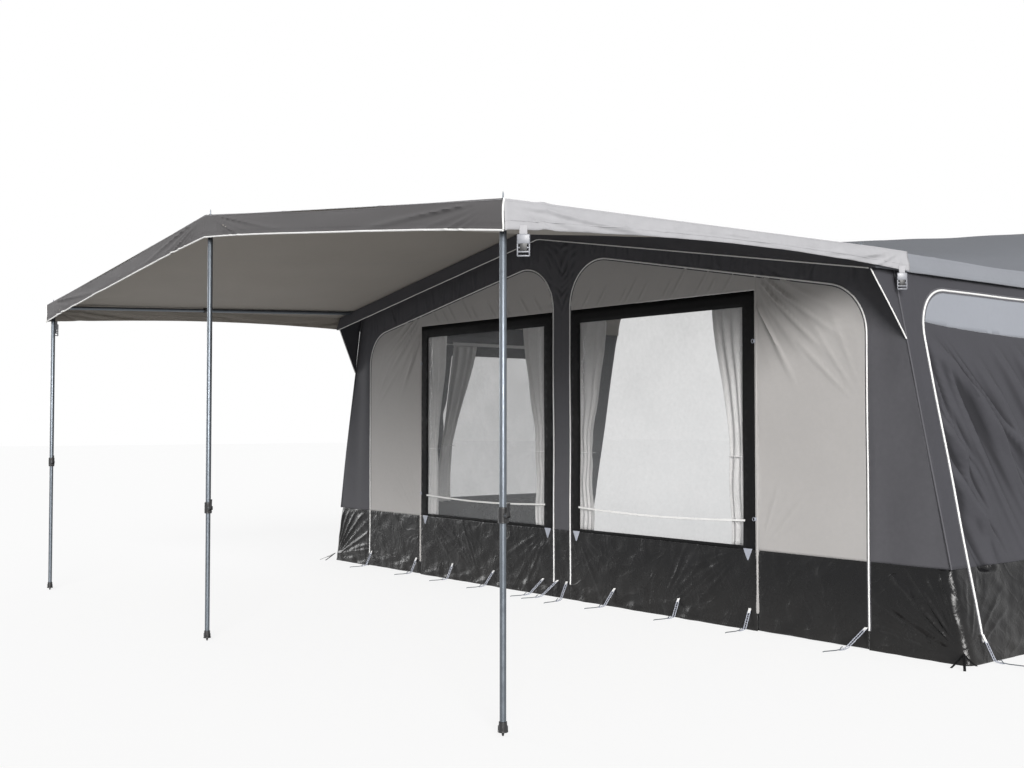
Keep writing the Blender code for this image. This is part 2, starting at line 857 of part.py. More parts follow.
def clamp_lever(word, x, y, joint):
    """Cam lever standing up beside the tube, turning on the clamp's pin."""
    item = rod("canopy_lever_" + word, lever_barrel_radius, lever_width, "black_plastic", "parts", 12)
    turn = Matrix.Translation((0, -lever_width / 2, 0)) @ Matrix.Rotation(math.pi / 2, 4, "Z")
    item.data.transform(turn)
    item.location = (x + lever_pivot_reach, y, joint)
    side = lever_barrel_radius - lever_thickness
    handle = block("handle_" + word, (side, -lever_width / 2, 0), (lever_barrel_radius, lever_width / 2,
                                                                  lever_length))
    handle.location = item.location
    combine(item, handle, "UNION")
    bore = rod("lever_bore_" + word, pin_radius + gap, 2 * lever_width, sides=8)
    bore.matrix_world = (Matrix.Translation((x + lever_pivot_reach, y - lever_width, joint))
                         @ Matrix.Rotation(math.pi / 2, 4, "Z"))
    combine(item, bore, "DIFFERENCE")


def make_legs():
    """Three canopy legs with clamps and levers, and three legs inside the front wall."""
    for word, x, y in canopy_leg_places():
        surface = canopy_height(x, y)
        levels = 3 if word == "middle" else 2
        joint = clamp_heights[word]
        top = leg_top(surface, levels, canopy_eye_drop)
        upper_leg("canopy_leg_upper_" + word, x, y, top, surface + spike_above, joint)
        lower_leg("canopy_leg_lower_" + word, x, y, joint)
        leg_clamp(word, x, y, joint)
        clamp_lever(word, x, y, joint)
    for word, x, y in awning_leg_places():
        surface = roof_height(x, y)
        levels = 3 if word == "middle" else 2
        tip = surface + canopy_lift + spike_above
        upper_leg("awning_leg_upper_" + word, x, y, leg_top(surface, levels), tip,
                  awning_clamp_height, collar=True)
        lower_leg("awning_leg_lower_" + word, x, y, awning_clamp_height)


# Poles
def frame_along(start, end, up):
    """Placement with X from start to end and Z near up."""
    along = (end - start).normalized()
    across = up.cross(along).normalized()
    upward = along.cross(across)
    place = Matrix((along, across, upward)).transposed().to_4x4()
    place.translation = start
    return place


def eye_plate(name, start, end, up, width, tail):
    """Flat plate that ends in a round eye at end and reaches past start by tail."""
    length = (end - start).length
    radius = width / 2
    outline = [(-tail, -radius)] + arc(length, 0.0, radius, -90, 90) + [(-tail, radius)]
    hole = arc(length, 0.0, eye_hole_radius, 0, 330, 11)
    plate = panel(name, [outline, hole], frame_along(start, end, up), "steel", eye_thickness, "cutters")
    return as_mesh(plate)


def tube(name, start, end, up, radius, look="steel", open_start=False, open_end=False):
    """Hollow tube; an end that isn't open is plugged, and a button hole lets air out."""
    length = (end - start).length
    place = frame_along(start, end, up)
    item = rod(name, radius, length, look, "parts")
    item.matrix_world = place
    low = -tube_plug if open_start else tube_plug
    high = length + tube_plug if open_end else length - tube_plug
    core = rod(name + "_core", radius - tube_wall, high - low)
    core.matrix_world = place @ Matrix.Translation((low, 0, 0))
    combine(item, core, "DIFFERENCE")
    if not open_start and not open_end:
        drill = rod(name + "_button", button_radius, 2 * radius, sides=8)
        turn = Matrix.Rotation(math.pi / 2, 4, "Y")
        drill.matrix_world = place @ Matrix.Translation((button_from_end, 0, 0)) @ turn
        combine(item, drill, "DIFFERENCE")
    return item


def add_eye(item, tube_end, eye, up, width=eye_width):
    """Join a flat eye to a pole's end."""
    plate = eye_plate(item.name + "_eye_" + str(len(item.modifiers)), tube_end, eye, up, width,
                      tube_plug / 2)
    combine(item, plate, "UNION")


def pole_between(name, first, second, radius, up=Vector((0, 0, 1))):
    """Pole from eye to eye."""
    along = (second - first).normalized()
    start = first + along * eye_reach
    end = second - along * eye_reach
    item = tube(name, start, end, up, radius)
    add_eye(item, start, first, up)
    add_eye(item, end, second, up)
    return item


def make_front_rails():
    """Rails along the canopy's front edge and along the room's front edge."""
    sets = (("canopy_front_rail_", canopy_leg_places(), canopy_height, canopy_eye_drop),
            ("awning_front_rail_", awning_leg_places(), roof_height, first_eye_drop))
    for prefix, places, height, drop in sets:
        middle = places[1]
        for level, place in ((1, places[0]), (2, places[2])):
            word, x, y = place
            first = Vector((middle[1], y, eye_height(height(middle[1], y), level, drop)))
            second = Vector((x, y, eye_height(height(x, y), 1, drop)))
            pole_between(prefix + word, first, second, inner_tube_radius)


def slope_up(x):
    """Direction square to the roof's front slope on a side."""
    side = (x > 0) - (x < 0)
    return Vector((side * math.tan(roof_angle), 0, 1)).normalized()


def strap_points(front, x):
    """Ends of a canopy pole's rear strap, which lies on the roof and ends on the spike."""
    y = wall_y + awning_leg_behind
    up = slope_up(x)
    rise = (cloth / 2 + strap_clear + eye_thickness / 2) / up.z
    eye = Vector((x, y, roof_height(x, y) + rise))
    tail_y = y - strap_reach
    share = strap_reach / (y - front.y)
    tail_x = x + (front.x - x) * share
    side = abs(tail_x) - abs(x)
    tail = Vector((tail_x, tail_y, eye.z - roof_slope * side))
    return eye, tail, up


def canopy_poles():
    """Ridge pole and two telescopic side poles between the canopy's legs and the roof."""
    for word, x, y in canopy_leg_places():
        front = Vector((x, y, eye_height(canopy_height(x, y), 0, canopy_eye_drop)))
        rear_x = (x > 0) * awning_leg_x - (x < 0) * awning_leg_x
        eye, tail, up = strap_points(front, rear_x)
        sink = up * (tube_radius - eye_thickness / 2)
        end = tail - sink
        along = (end - front).normalized()
        start = front + along * eye_reach
        if word == "middle":
            item = tube("canopy_ridge_pole", start, end, up, tube_radius)
            add_eye(item, start, front, up)
            add_strap(item, tail, eye, up, ridge_eye_width)
            continue
        joint = front + along * side_pole_joint
        outer = tube("canopy_side_pole_outer_" + word, joint, end, up, tube_radius, open_start=True)
        half = pole_clamp_length / 2
        throat = tube_bore + tube_wall / 2
        profile = [(throat, half), (pole_clamp_radius, half)]
        profile += [(pole_clamp_radius, -half), (throat, -half)]
        grip = turned("grip_" + word, profile, "steel", "cutters", closed=True)
        turn = Matrix.Rotation(math.pi / 2, 4, "Y")
        centre = Matrix.Translation((pole_clamp_length / 4, 0, 0))
        grip.matrix_world = frame_along(joint, end, up) @ centre @ turn
        combine(outer, grip, "UNION")
        add_strap(outer, tail, eye, up, eye_width)
        inner_end = joint + along * side_pole_overlap
        inner = tube("canopy_side_pole_inner_" + word, start, inner_end, up, inner_tube_radius,
                     open_end=True)
        add_eye(inner, start, front, up)


def add_strap(item, tail, eye, up, width):
    """Join the rear strap to a canopy pole."""
    plate = eye_plate(item.name + "_strap", tail, eye, up, width, strap_bite)
    combine(item, plate, "UNION")


def roof_poles():
    """Ridge pole and side poles of the room, with pads against the caravan."""
    up = Vector((0, 0, 1))
    for word, x, y in awning_leg_places():
        first = Vector((x, y, eye_height(roof_height(x, y), 0)))
        back = rear_y - pad_thickness
        drop = first_eye_drop if word == "middle" else rear_drop
        last = Vector((x, back + pad_thickness / 2, roof_height(x, back) - drop))
        along = (last - first).normalized()
        start = first + along * eye_reach
        item = tube("awning_roof_pole_" + word, start, last, up, tube_radius)
        add_eye(item, start, first, up)
        low = (x - pad_width / 2, back, last.z + pad_rise - pad_height)
        high = (x + pad_width / 2, rear_y, last.z + pad_rise)
        combine(item, block("pad_" + word, low, high), "UNION")


clear_scene()
collections = {"parts": make_collection("caravan_awning"), "cutters": make_collection("cutters")}
make_roofs()
make_front()
for side_sign, side_word in ((-1, "left"), (1, "right")):
    make_side(side_sign, side_word)
make_curtains()
make_legs()
make_front_rails()
canopy_poles()
roof_poles()
collections["cutters"].hide_render = True
bpy.context.view_layer.update()
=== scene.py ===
"""Caravan awning with a sun canopy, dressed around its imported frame.

Every cloth is a thin sheet that hangs where its solid hangs, with the folds, hems, zips
and piping of the real one. Poles keep their solids where their shape is right.
"""
import math
from functools import partial

import bmesh
import bpy
import numpy as np
from mathutils import Matrix, Vector
from mathutils.geometry import delaunay_2d_cdt
from mathutils.kdtree import KDTree


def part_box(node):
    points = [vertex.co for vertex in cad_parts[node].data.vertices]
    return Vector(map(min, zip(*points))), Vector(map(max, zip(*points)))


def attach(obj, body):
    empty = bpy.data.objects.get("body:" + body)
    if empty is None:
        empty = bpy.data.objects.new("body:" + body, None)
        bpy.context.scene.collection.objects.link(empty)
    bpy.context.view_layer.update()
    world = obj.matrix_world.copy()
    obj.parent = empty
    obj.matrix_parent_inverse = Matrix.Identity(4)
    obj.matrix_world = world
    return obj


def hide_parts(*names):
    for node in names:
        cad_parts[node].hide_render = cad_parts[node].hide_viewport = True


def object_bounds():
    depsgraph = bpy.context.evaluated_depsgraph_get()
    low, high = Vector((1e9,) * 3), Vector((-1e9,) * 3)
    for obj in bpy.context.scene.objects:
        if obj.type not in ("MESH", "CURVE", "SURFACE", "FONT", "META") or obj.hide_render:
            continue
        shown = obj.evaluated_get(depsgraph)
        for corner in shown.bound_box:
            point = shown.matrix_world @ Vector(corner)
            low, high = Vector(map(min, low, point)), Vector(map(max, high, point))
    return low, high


bl_info = {
    "name": "Caravan awning",
    "version": (1, 0, 0),
    "blender": (4, 5, 0),
    "location": "3D View > Sidebar > Awning",
    "description": "Dresses a caravan awning and its sun canopy around the packed frame",
    "category": "Add Mesh",
}

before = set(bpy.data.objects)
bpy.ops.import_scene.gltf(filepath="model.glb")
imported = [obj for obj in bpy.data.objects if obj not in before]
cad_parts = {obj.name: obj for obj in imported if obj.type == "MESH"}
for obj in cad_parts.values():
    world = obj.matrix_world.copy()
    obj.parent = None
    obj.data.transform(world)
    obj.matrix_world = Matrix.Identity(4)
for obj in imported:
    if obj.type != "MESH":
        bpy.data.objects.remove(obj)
cad_box = [list(corner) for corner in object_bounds()]

# Words and sides, then places, heights and gaps in metres and steps of the grids
sides = (("left", -1), ("right", 1))
tuck = 0.007
room_depth = 3.0
leg_inset = 0.21
seam_places = (-1.74, -0.87, 0.87, 1.74)
hem_steps = 16
band_steps = 7
leg_place = 2.36
leg_behind = 0.03
hem_creases = ((0.03, 0.015, 0.8, 0.075, 0.013), (0.06, 0.05, 0.5, 0.085, 0.007),
               (1.2, 0.02, 1.75, 0.06, 0.006), (1.9, 0.06, 2.5, 0.03, 0.008))
stitch_foot = 0.47
zip_foot = 0.10
ground_gap = 0.0012
wing_foot = 1.6
curtain_heights = (0.47, 0.98, 1.9)
leg_names = ("left", "middle", "right")
side_window = (0.98, 2.62)
window_foot = 0.5
wall_y = (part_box("mud_wall_centre")[0].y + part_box("mud_wall_centre")[1].y) / 2
front_y = cad_box[0][1]
rear_y = cad_box[1][1]


def length(label, default, text):
    """A length property."""
    return bpy.props.FloatProperty(name=label, default=default, description=text, unit="LENGTH",
                                   precision=4)


def colour(label, default, text):
    """A colour property."""
    return bpy.props.FloatVectorProperty(name=label, default=default, description=text,
                                         subtype="COLOR", size=3, min=0.0, max=1.0)


class AwningSizes(bpy.types.PropertyGroup):
    """Sizes of the cloth and of its folds."""

    cloth: length("Cloth thickness", 0.0014, "Thickness of every woven or coated sheet")
    peak_height: length("Peak height", 2.5, "Height of the room's front peak")
    eave_height: length("Eave height", 2.05, "Height of the room's eaves")
    eave_half_width: length("Half width at the eave", 2.57, "From the middle to the eave")
    wall_tuck: length("Wall tuck", 0.015, "How far the side walls' heads sit inside the eave")
    base_half_width: length("Half width at the ground", 2.97, "From the middle to the side wall's foot")
    rail_height: length("Rail height", 2.53, "Height of the caravan's rail")
    rail_corner: length("Rail corner", 0.62, "Width over which the rear edge comes down to the eave")
    roof_start: length("Roof start", 0.05, "Behind the front wall, where the roof starts to rise")
    roof_sag: length("Roof sag", 0.03, "Sag of the room's roof between its poles")
    overhang: length("Overhang", 0.2, "Roof in front of the front wall")
    band_drop: length("Band height", 0.1, "Height of the bands at the roof's edges")
    band_lean: length("Band lean", 0.01, "How far the front band leans out")
    band_clear: length("Band clearance", 0.01, "Side band in front of the side wall")
    canopy_margin: length("Canopy margin", 0.015, "Canopy outside the roof's side band")
    canopy_peak: length("Canopy peak", 2.305, "Height of the canopy's front peak")
    canopy_corner: length("Canopy corner", 2.015, "Height of the canopy's front corners")
    canopy_sag: length("Canopy sag", 0.06, "Sag of the canopy's slopes")
    canopy_lift: length("Canopy lift", 0.0085, "Canopy above the roof that it lies on")
    canopy_overlap: length("Canopy overlap", 0.06, "Canopy behind the front wall")
    valance_drop: length("Valance height", 0.12, "Height of the canopy's front valance")
    valance_bow: length("Valance bow", 0.022, "How far the valance's lower edge is drawn up")
    hem_front: length("Side hem in front", 0.115, "Side valance at the front corner")
    hem_rear: length("Side hem behind", 0.1, "Side valance at the rear corner")
    hem_bow: length("Side hem bow", 0.04, "How far the side valance is drawn up")
    hem_flare: length("Side hem flare", 0.01, "How far the side valance stands out")
    column_half: length("Column half width", 0.085, "Half the width of the middle column")
    window_zip: length("Window zip", 1.675, "From the middle to the zip between window and door")
    outer_zip: length("Outer zip", 2.41, "From the middle to the door's outer zip")
    arch_crown: length("Arch crown", 2.324, "Height of the head line at the middle")
    inner_radius: length("Inner arch radius", 0.3, "Radius of the arch beside the middle column")
    outer_radius: length("Outer arch radius", 0.28, "Radius of the arch at the outer corner")
    mud_height: length("Skirt height", 0.455, "Height of the coated skirt")
    window_top: length("Window top", 1.93, "Height of the window frame's top")
    frame_side: length("Frame side", 0.1, "Width of the window frame's sides")
    frame_head: length("Frame head", 0.09, "Height of the window frame's top strip")
    frame_foot: length("Frame foot", 0.02, "Height of the window frame's bottom strip")
    side_zip: length("Side zip", 0.16, "From the front wall to the side wall's zip")
    side_arch: length("Side arch height", 1.88, "Height of the side wall's arch")
    side_radius: length("Side arch radius", 0.28, "Corner radius of the side wall's arch")
    rear_clear: length("Rear clearance", 0.03, "Side wall in front of the caravan")
    gap: length("Gap", 0.0006, "Gap between neighbouring sheets")
    fold: length("Fold depth", 0.006, "Depth of the walls' folds")
    zip_radius: length("Zip radius", 0.0046, "Half the width of a zip's coil")
    piping_radius: length("Piping radius", 0.0045, "Radius of the white piping")


class AwningColours(bpy.types.PropertyGroup):
    """Colours of the cloths and fittings."""

    canopy: colour("Canopy", (0.394, 0.394, 0.41), "Outside of the canopy")
    lining: colour("Canopy lining", (0.42, 0.389, 0.35), "Underside of the canopy")
    valance: colour("Valance", (0.101, 0.0975, 0.1), "Front valance of the canopy")
    surround: colour("Surround", (0.095, 0.0945, 0.104), "Head band and columns")
    # Painted shade: the side walls and corner wings are the surround's cloth, given a darker copy of its
    # colour.
    side: colour("Side walls", (0.056, 0.056, 0.0635), "Side walls and corner wings")
    panel: colour("Panels", (0.45, 0.438, 0.43), "Doors and window headers")
    skirt: colour("Skirt", (0.006, 0.006, 0.0066), "Coated skirt")
    window: colour("Window frame", (0.0055, 0.0055, 0.006), "Black strips round the panes")
    foil: colour("Window foil", (0.3, 0.31, 0.32), "Haze of the clear foil")
    roof: colour("Roof", (0.146, 0.154, 0.17), "Roof of the room")
    band: colour("Side band", (0.235, 0.246, 0.27), "Light band along the roof's sides")
    light_panel: colour("Light panel", (0.27, 0.284, 0.315), "Upper part of the side wall's panel")
    curtain: colour("Curtains", (0.9, 0.89, 0.885), "Curtains")
    piping: colour("Piping", (0.8, 0.8, 0.79), "Piping, zips and hem tabs")
    fitting: colour("Fittings", (0.36, 0.38, 0.44), "Tabs and ladder bands")
    buckle: colour("Buckles", (0.2, 0.207, 0.23), "Buckles of the canopy's corners")
    plastic: colour("Plastic", (0.014, 0.014, 0.015), "Clamps and feet")
    zinc: colour("Zinc", (0.135, 0.152, 0.172), "Galvanised tubes")


def sizes():
    """The sizes in use."""
    return bpy.context.scene.awning_sizes


# Surfaces
def noise(u, v, reach, seed, waves=9):
    """Smooth noise about -1 to 1 with bumps of about the given reach."""
    draw = np.random.default_rng(seed)
    total = np.zeros(np.broadcast(u, v).shape)
    for _ in range(waves):
        turn = draw.uniform(0, math.pi)
        pace = 2 * math.pi / (reach * draw.uniform(0.9, 2.2))
        total += np.sin((u * math.cos(turn) + v * math.sin(turn)) * pace + draw.uniform(0, 6.3))
    return total / math.sqrt(waves)


def ease(low, high, value):
    """Smooth step from 0 at low to 1 at high."""
    share = np.clip((value - low) / (high - low), 0, 1)
    return share * share * (3 - 2 * share)


def crease(u, v, start, end, width, height):
    """A ridge along a line, fading at its ends."""
    du, dv = end[0] - start[0], end[1] - start[1]
    run = du * du + dv * dv
    along = ((u - start[0]) * du + (v - start[1]) * dv) / run
    away = ((u - start[0]) * dv - (v - start[1]) * du) / math.sqrt(run)
    away = away + 0.2 * width * np.sin(along * 7)
    fade = ease(-0.05, 0.25, along) * (1 - ease(0.7, 1.05, along))
    return height * fade * np.exp(-((away / width) ** 2))


def fan(u, v, centre, angles, count, reach, height, seed=0, crisp=0.45):
    """Folds that radiate from a point between two angles in degrees."""
    du, dv = u - centre[0], v - centre[1]
    away = np.hypot(du, dv)
    low, high = (math.radians(a) for a in angles)
    turn = np.arctan2(dv, du)
    turn = (turn - low) % (2 * math.pi)
    share = turn / (high - low)
    side = ease(-0.02, 0.18, share) * (1 - ease(0.82, 1.02, share))
    start, top, end = reach
    body = ease(start, top, away) * (1 - ease(top, end, away) * 0.999)
    warp = 0.3 * noise(u, v, end, seed + 5, 4)
    turn = count * share + warp
    ridge = np.exp(-((np.sin(math.pi * turn) / crisp) ** 2))
    strength = 0.65 + 0.35 * np.sin(2.4 * np.round(turn) + seed)
    return height * side * body * ridge * strength


def head_line(x):
    """Height of the slanted head of the front openings."""
    s = sizes()
    slope = (s.peak_height - s.eave_height) / s.eave_half_width + 0.024 / s.outer_zip
    return s.arch_crown - slope * x, math.atan(slope)


def roof_slope():
    """Slope of the roof's front edge."""
    s = sizes()
    return (s.peak_height - s.eave_height) / s.eave_half_width


def roof_z(x, y):
    """Height of the room's roof."""
    s = sizes()
    x = np.abs(x)
    flat = s.eave_half_width - s.rail_corner
    past = np.clip((x - flat) / s.rail_corner, 0, 1)
    rear = s.eave_height + (s.rail_height - s.eave_height) * np.sqrt(1 - past * past)
    start = wall_y + s.roof_start
    share = np.clip((y - start) / (rear_y - start), 0, 1)
    front = s.peak_height - roof_slope() * x
    across = np.sin(math.pi * np.minimum(1, x / flat))
    return front + (rear - front) * share - s.roof_sag * across * np.sin(math.pi * share)


def wall_tilt():
    """Angle of the side walls from upright."""
    s = sizes()
    return math.atan((s.base_half_width - s.eave_half_width + s.wall_tuck) / s.eave_height)


def band_flare():
    """How far the roof's side band stands out at its foot."""
    s = sizes()
    return s.band_drop * math.tan(wall_tilt()) + s.band_clear


def canopy_half():
    """Half width of the canopy."""
    s = sizes()
    return s.eave_half_width + band_flare() + s.canopy_margin


def canopy_z(x, y):
    """Height of the canopy."""
    s = sizes()
    x = np.abs(x)
    end = wall_y - s.overhang - 0.02
    share = np.clip((y - front_y) / (end - front_y), 0, 1)
    front = s.canopy_peak - (s.canopy_peak - s.canopy_corner) * x / canopy_half()
    rear = s.peak_height + s.canopy_lift - roof_slope() * x
    across = np.sin(math.pi * np.minimum(1, x / (s.eave_half_width - leg_inset)))
    return front + (rear - front) * share - s.canopy_sag * across * np.sin(math.pi * share)


def wall_x(z):
    """Half width of the room at a height."""
    s = sizes()
    return s.base_half_width - math.tan(wall_tilt()) * z


def front_plane():
    """Origin, across, up and outward of the front wall."""
    return np.array([(0, wall_y, 0), (1, 0, 0), (0, 0, 1), (0, -1, 0)], float)


def side_end():
    """Length of a side wall."""
    return room_depth - sizes().rear_clear


def side_plane(side):
    """Origin, back, up and outward of a side wall."""
    tilt = wall_tilt()
    origin = (side * sizes().base_half_width, wall_y, 0)
    upward = (-side * math.sin(tilt), 0, math.cos(tilt))
    outward = (side * math.cos(tilt), 0, math.sin(tilt))
    return np.array([origin, (0, 1, 0), upward, outward], float)


def wall_rise():
    """Length along the side wall for each metre of height."""
    return 1 / math.cos(wall_tilt())


def calm(u, lines, reach=0.05):
    """0 on the lines and 1 away from them, to keep folds off the zips."""
    total = 1.0
    for line in lines:
        total = total * (1 - np.exp(-(((u - line) / reach) ** 2)))
    return total


def front_lift(u, v):
    """How far the front wall's cloth stands out of its plane."""
    s = sizes()
    x = np.abs(u)
    head, _ = head_line(x)
    out = 0.4 * s.fold * noise(u, v, 0.8, 3)
    still = calm(x, (s.column_half, s.window_zip, s.outer_zip))
    below = ease(0.0, 0.03, s.mud_height - v)
    low = 1 - ease(0.02, 0.14, v)
    skirt = 0.22 * noise(u * 0.8, v, 0.07, 11) + 0.3 * noise(u, v * 1.5, 0.22, 12)
    for start, angles in (((0.12, 0.47), (-75, -5)), ((1.6, 0.47), (185, 240)), ((0.9, 0.0), (20, 80))):
        skirt = skirt + fan(x, v, start, angles, 7, (0.02, 0.22, 0.8), 0.8, 15)
    out += below * still * s.fold * skirt
    out += low * s.fold * (0.6 * still * noise(u, v * 2, 0.12, 13) + 0.9)
    above = ease(-0.02, 0.03, v - head)
    out += above * s.fold * 0.25 * noise(u * 1.6, v * 0.35, 0.07, 21)
    draw = np.random.default_rng(22)
    for place in draw.uniform(0.2, 2.35, 13):
        line = head_line(place)[0]
        lean = draw.uniform(-0.05, 0.09)
        out += crease(x, v, (place, line + 0.01), (place + lean, line + 0.16), 0.009, 1.1 * s.fold)
    column = (1 - ease(s.column_half, s.column_half + 0.1, x)) * ease(1.75, 2.15, v)
    column = column * calm(x, (s.column_half,), 0.02) * (0.55 + 0.45 * noise(u, v * 0.7, 0.11, 24))
    slant = v - (0.75 + 0.2 * noise(u, v, 0.3, 25)) * x
    wave = np.sin(slant * 2 * math.pi / 0.062 + 2.4 * noise(u, v, 0.17, 23))
    out += column * s.fold * 1.15 * wave
    door = ease(s.window_zip, s.window_zip + 0.025, x) * (1 - ease(s.outer_zip - 0.06, s.outer_zip, x))
    door = door * ease(s.mud_height, s.mud_height + 0.2, v)
    out += door * fan(x, v, (s.window_zip - 0.14, 2.16), (-72, -22), 6, (0.16, 0.36, 0.95), 3.2 * s.fold, 31)
    out += door * fan(x, v, (s.outer_zip + 0.02, 1.2), (100, 150), 4, (0.1, 0.4, 1.1), 0.8 * s.fold, 33)
    out += door * fan(x, v, (s.window_zip, 0.42), (20, 80), 5, (0.05, 0.2, 0.6), 0.5 * s.fold, 35)
    header = (1 - above) * ease(s.window_top - 0.01, s.window_top + 0.02, v) * (1 - ease(1.6, 1.68, x))
    for start in (0.2, 0.34, 0.55, 0.6, 0.72, 0.93, 1.0, 1.2, 1.3, 1.42):
        long = 0.12 + 0.1 * math.sin(start * 17) ** 2
        line = ((start, s.window_top - 0.02), (start + 0.8 * long, s.window_top + long))
        out += header * crease(x, v, *line, 0.009, 0.9 * s.fold)
    column = ease(s.outer_zip, s.outer_zip + 0.05, x) * (1 - below)
    out += column * s.fold * 0.7 * noise(u, v * 0.12, 0.16, 41)
    side = ease(s.outer_zip, s.outer_zip + 0.04, x) * ease(0.0, 0.07, s.mud_height - v)
    out += side * fan(x, v, (2.95, 0.03), (98, 166), 7, (0.06, 0.2, 0.8), 3.0 * s.fold, 43, 0.6)
    out += side * crease(x, v, (2.4, 0.13), (2.94, 0.06), 0.016, 1.8 * s.fold)
    out += side * crease(x, v, (2.4, 0.17), (2.8, 0.1), 0.014, 1.2 * s.fold)
    return out * calm(x, (s.window_zip,), 0.018)


def skirt_lift(u, v):
    """The front skirt, which is sewn on behind the cloth above it."""
    top = sizes().mud_height
    return front_lift(u, np.minimum(v, top - 0.0001)) - 0.002 * ease(top - 0.006, top, v)


def side_lift(side, u, v):
    """How far a side wall's cloth stands out of its plane."""
    s = sizes()
    seed = 60 + side
    out = 0.6 * s.fold * noise(u, v, 0.7, seed)
    still = calm(u, (s.side_zip, side_end() - s.side_zip))
    below = ease(0.0, 0.03, s.mud_height - v)
    skirt = 0.25 * noise(u, v, 0.08, seed + 2) + 0.5 * noise(u, v * 1.6, 0.25, seed + 4)
    out += below * still * s.fold * skirt
    out += (1 - ease(0.02, 0.14, v)) * s.fold * (0.6 * still * noise(u, v * 2, 0.12, seed + 6) + 0.9)
    panel = ease(s.side_zip, s.side_zip + 0.06, u) * (1 - ease(2.6, 2.78, u))
    panel = panel * (1 - below) * (1 - ease(1.5, 1.72, v))
    draw = np.random.default_rng(seed + 8)
    for start in np.linspace(-0.3, 2.3, 13):
        start += draw.uniform(-0.07, 0.07)
        top = draw.uniform(1.45, 1.75)
        long = draw.uniform(0.7, 1.25)
        lean = draw.uniform(0.45, 0.8)
        line = ((start, top), (start + long * lean, top - long))
        width = draw.uniform(0.028, 0.044)
        out += panel * crease(u, v, *line, width, draw.uniform(0.85, 1.15) * width)
    for start in np.linspace(0.85, 1.8, 8):
        long = draw.uniform(0.5, 0.9)
        line = ((0.06, start), (0.06 + long * draw.uniform(0.4, 0.65), start - long))
        width = draw.uniform(0.024, 0.036)
        out -= panel * crease(u, v, *line, width, draw.uniform(0.75, 1.0) * width)
    knot = (s.side_zip - 0.05, 1.9)
    out += panel * fan(u, v, knot, (-84, -42), 7, (0.2, 0.8, 1.9), 0.024, seed + 14, 0.5)
    column = (1 - ease(s.side_zip - 0.03, s.side_zip, u)) * (1 - below)
    out += column * s.fold * 0.5 * noise(u, v * 0.1, 0.1, seed + 10)
    corner = still * ease(0.0, 0.07, s.mud_height - v)
    out += corner * fan(u, v, (0.0, 0.0), (20, 84), 6, (0.1, 0.25, 0.65), 2 * s.fold, seed + 12)
    return out


def arc(x, z, radius, start, end, steps=18):
    """Points of an arc, angles in degrees."""
    turns = np.radians(np.linspace(start, end, steps + 1))
    return [(x + radius * math.cos(t), z + radius * math.sin(t)) for t in turns]


def inner_arc(inset=0.0):
    """Arc beside the middle column, up to the slanted head."""
    s = sizes()
    x = s.column_half + s.inner_radius
    head, tilt = head_line(x)
    z = head - s.inner_radius / math.cos(tilt)
    return arc(x, z, s.inner_radius - inset, 180, 90 - math.degrees(tilt))


def outer_arc(inset=0.0):
    """Arc at the outer corner, down to the outer zip."""
    s = sizes()
    x = s.outer_zip - s.outer_radius
    head, tilt = head_line(x)
    z = head - s.outer_radius / math.cos(tilt)
    return arc(x, z, s.outer_radius - inset, 90 - math.degrees(tilt), 0)


def side_arc(inset=0.0):
    """Opening of a side wall, from its front foot round to its rear foot."""
    s = sizes()
    rise = wall_rise()
    head = s.side_arch * rise
    back = side_end() - s.side_zip
    foot = (s.mud_height + s.gap) * rise
    points = [(s.side_zip + inset, foot)]
    points += arc(s.side_zip + s.side_radius, head - s.side_radius, s.side_radius - inset, 180, 90)
    points += arc(back - s.side_radius, head - s.side_radius, s.side_radius - inset, 90, 0)
    return points + [(back - inset, foot)]


# Mesh building
def link(name, mesh, looks=()):
    """Make an object of a mesh and give it its materials."""
    item = bpy.data.objects.new(name, mesh)
    bpy.context.scene.collection.objects.link(item)
    for look in looks:
        mesh.materials.append(look)
    return item


def smooth(mesh, angle=50):
    """Smooth shading with sharp folds kept."""
    mesh.shade_smooth()
    mesh.set_sharp_from_angle(angle=math.radians(angle))


def thicken(item, looks=1):
    """Give an open sheet its thickness; the inner layer takes the later materials."""
    wall = item.modifiers.new("thickness", "SOLIDIFY")
    wall.thickness = sizes().cloth
    wall.offset = 0
    wall.material_offset = looks
    wall.material_offset_rim = 0


grids = {}


def grid(name, points, looks, kinds=None, lining=0, angle=60):
    """A sheet from rows and columns of points."""
    grids[name] = points
    rows, cols = points.shape[:2]
    index = np.arange(rows * cols).reshape(rows, cols)
    quads = np.stack((index[:-1, :-1], index[:-1, 1:], index[1:, 1:], index[1:, :-1]), -1)
    mesh = bpy.data.meshes.new(name)
    mesh.from_pydata(points.reshape(-1, 3).tolist(), [], quads.reshape(-1, 4).tolist())
    if kinds is not None:
        mesh.polygons.foreach_set("material_index", kinds.reshape(-1).astype(np.int32))
    smooth(mesh, angle)
    item = link(name, mesh, looks)
    thicken(item, lining)
    return item


def divide(loop, spacing):
    """A closed outline with points no further apart than spacing."""
    points = []
    for a, b in zip(loop, loop[1:] + loop[:1]):
        steps = max(1, round(math.dist(a, b) / spacing))
        for k in range(steps):
            points.append((a[0] + (b[0] - a[0]) * k / steps, a[1] + (b[1] - a[1]) * k / steps))
    return points


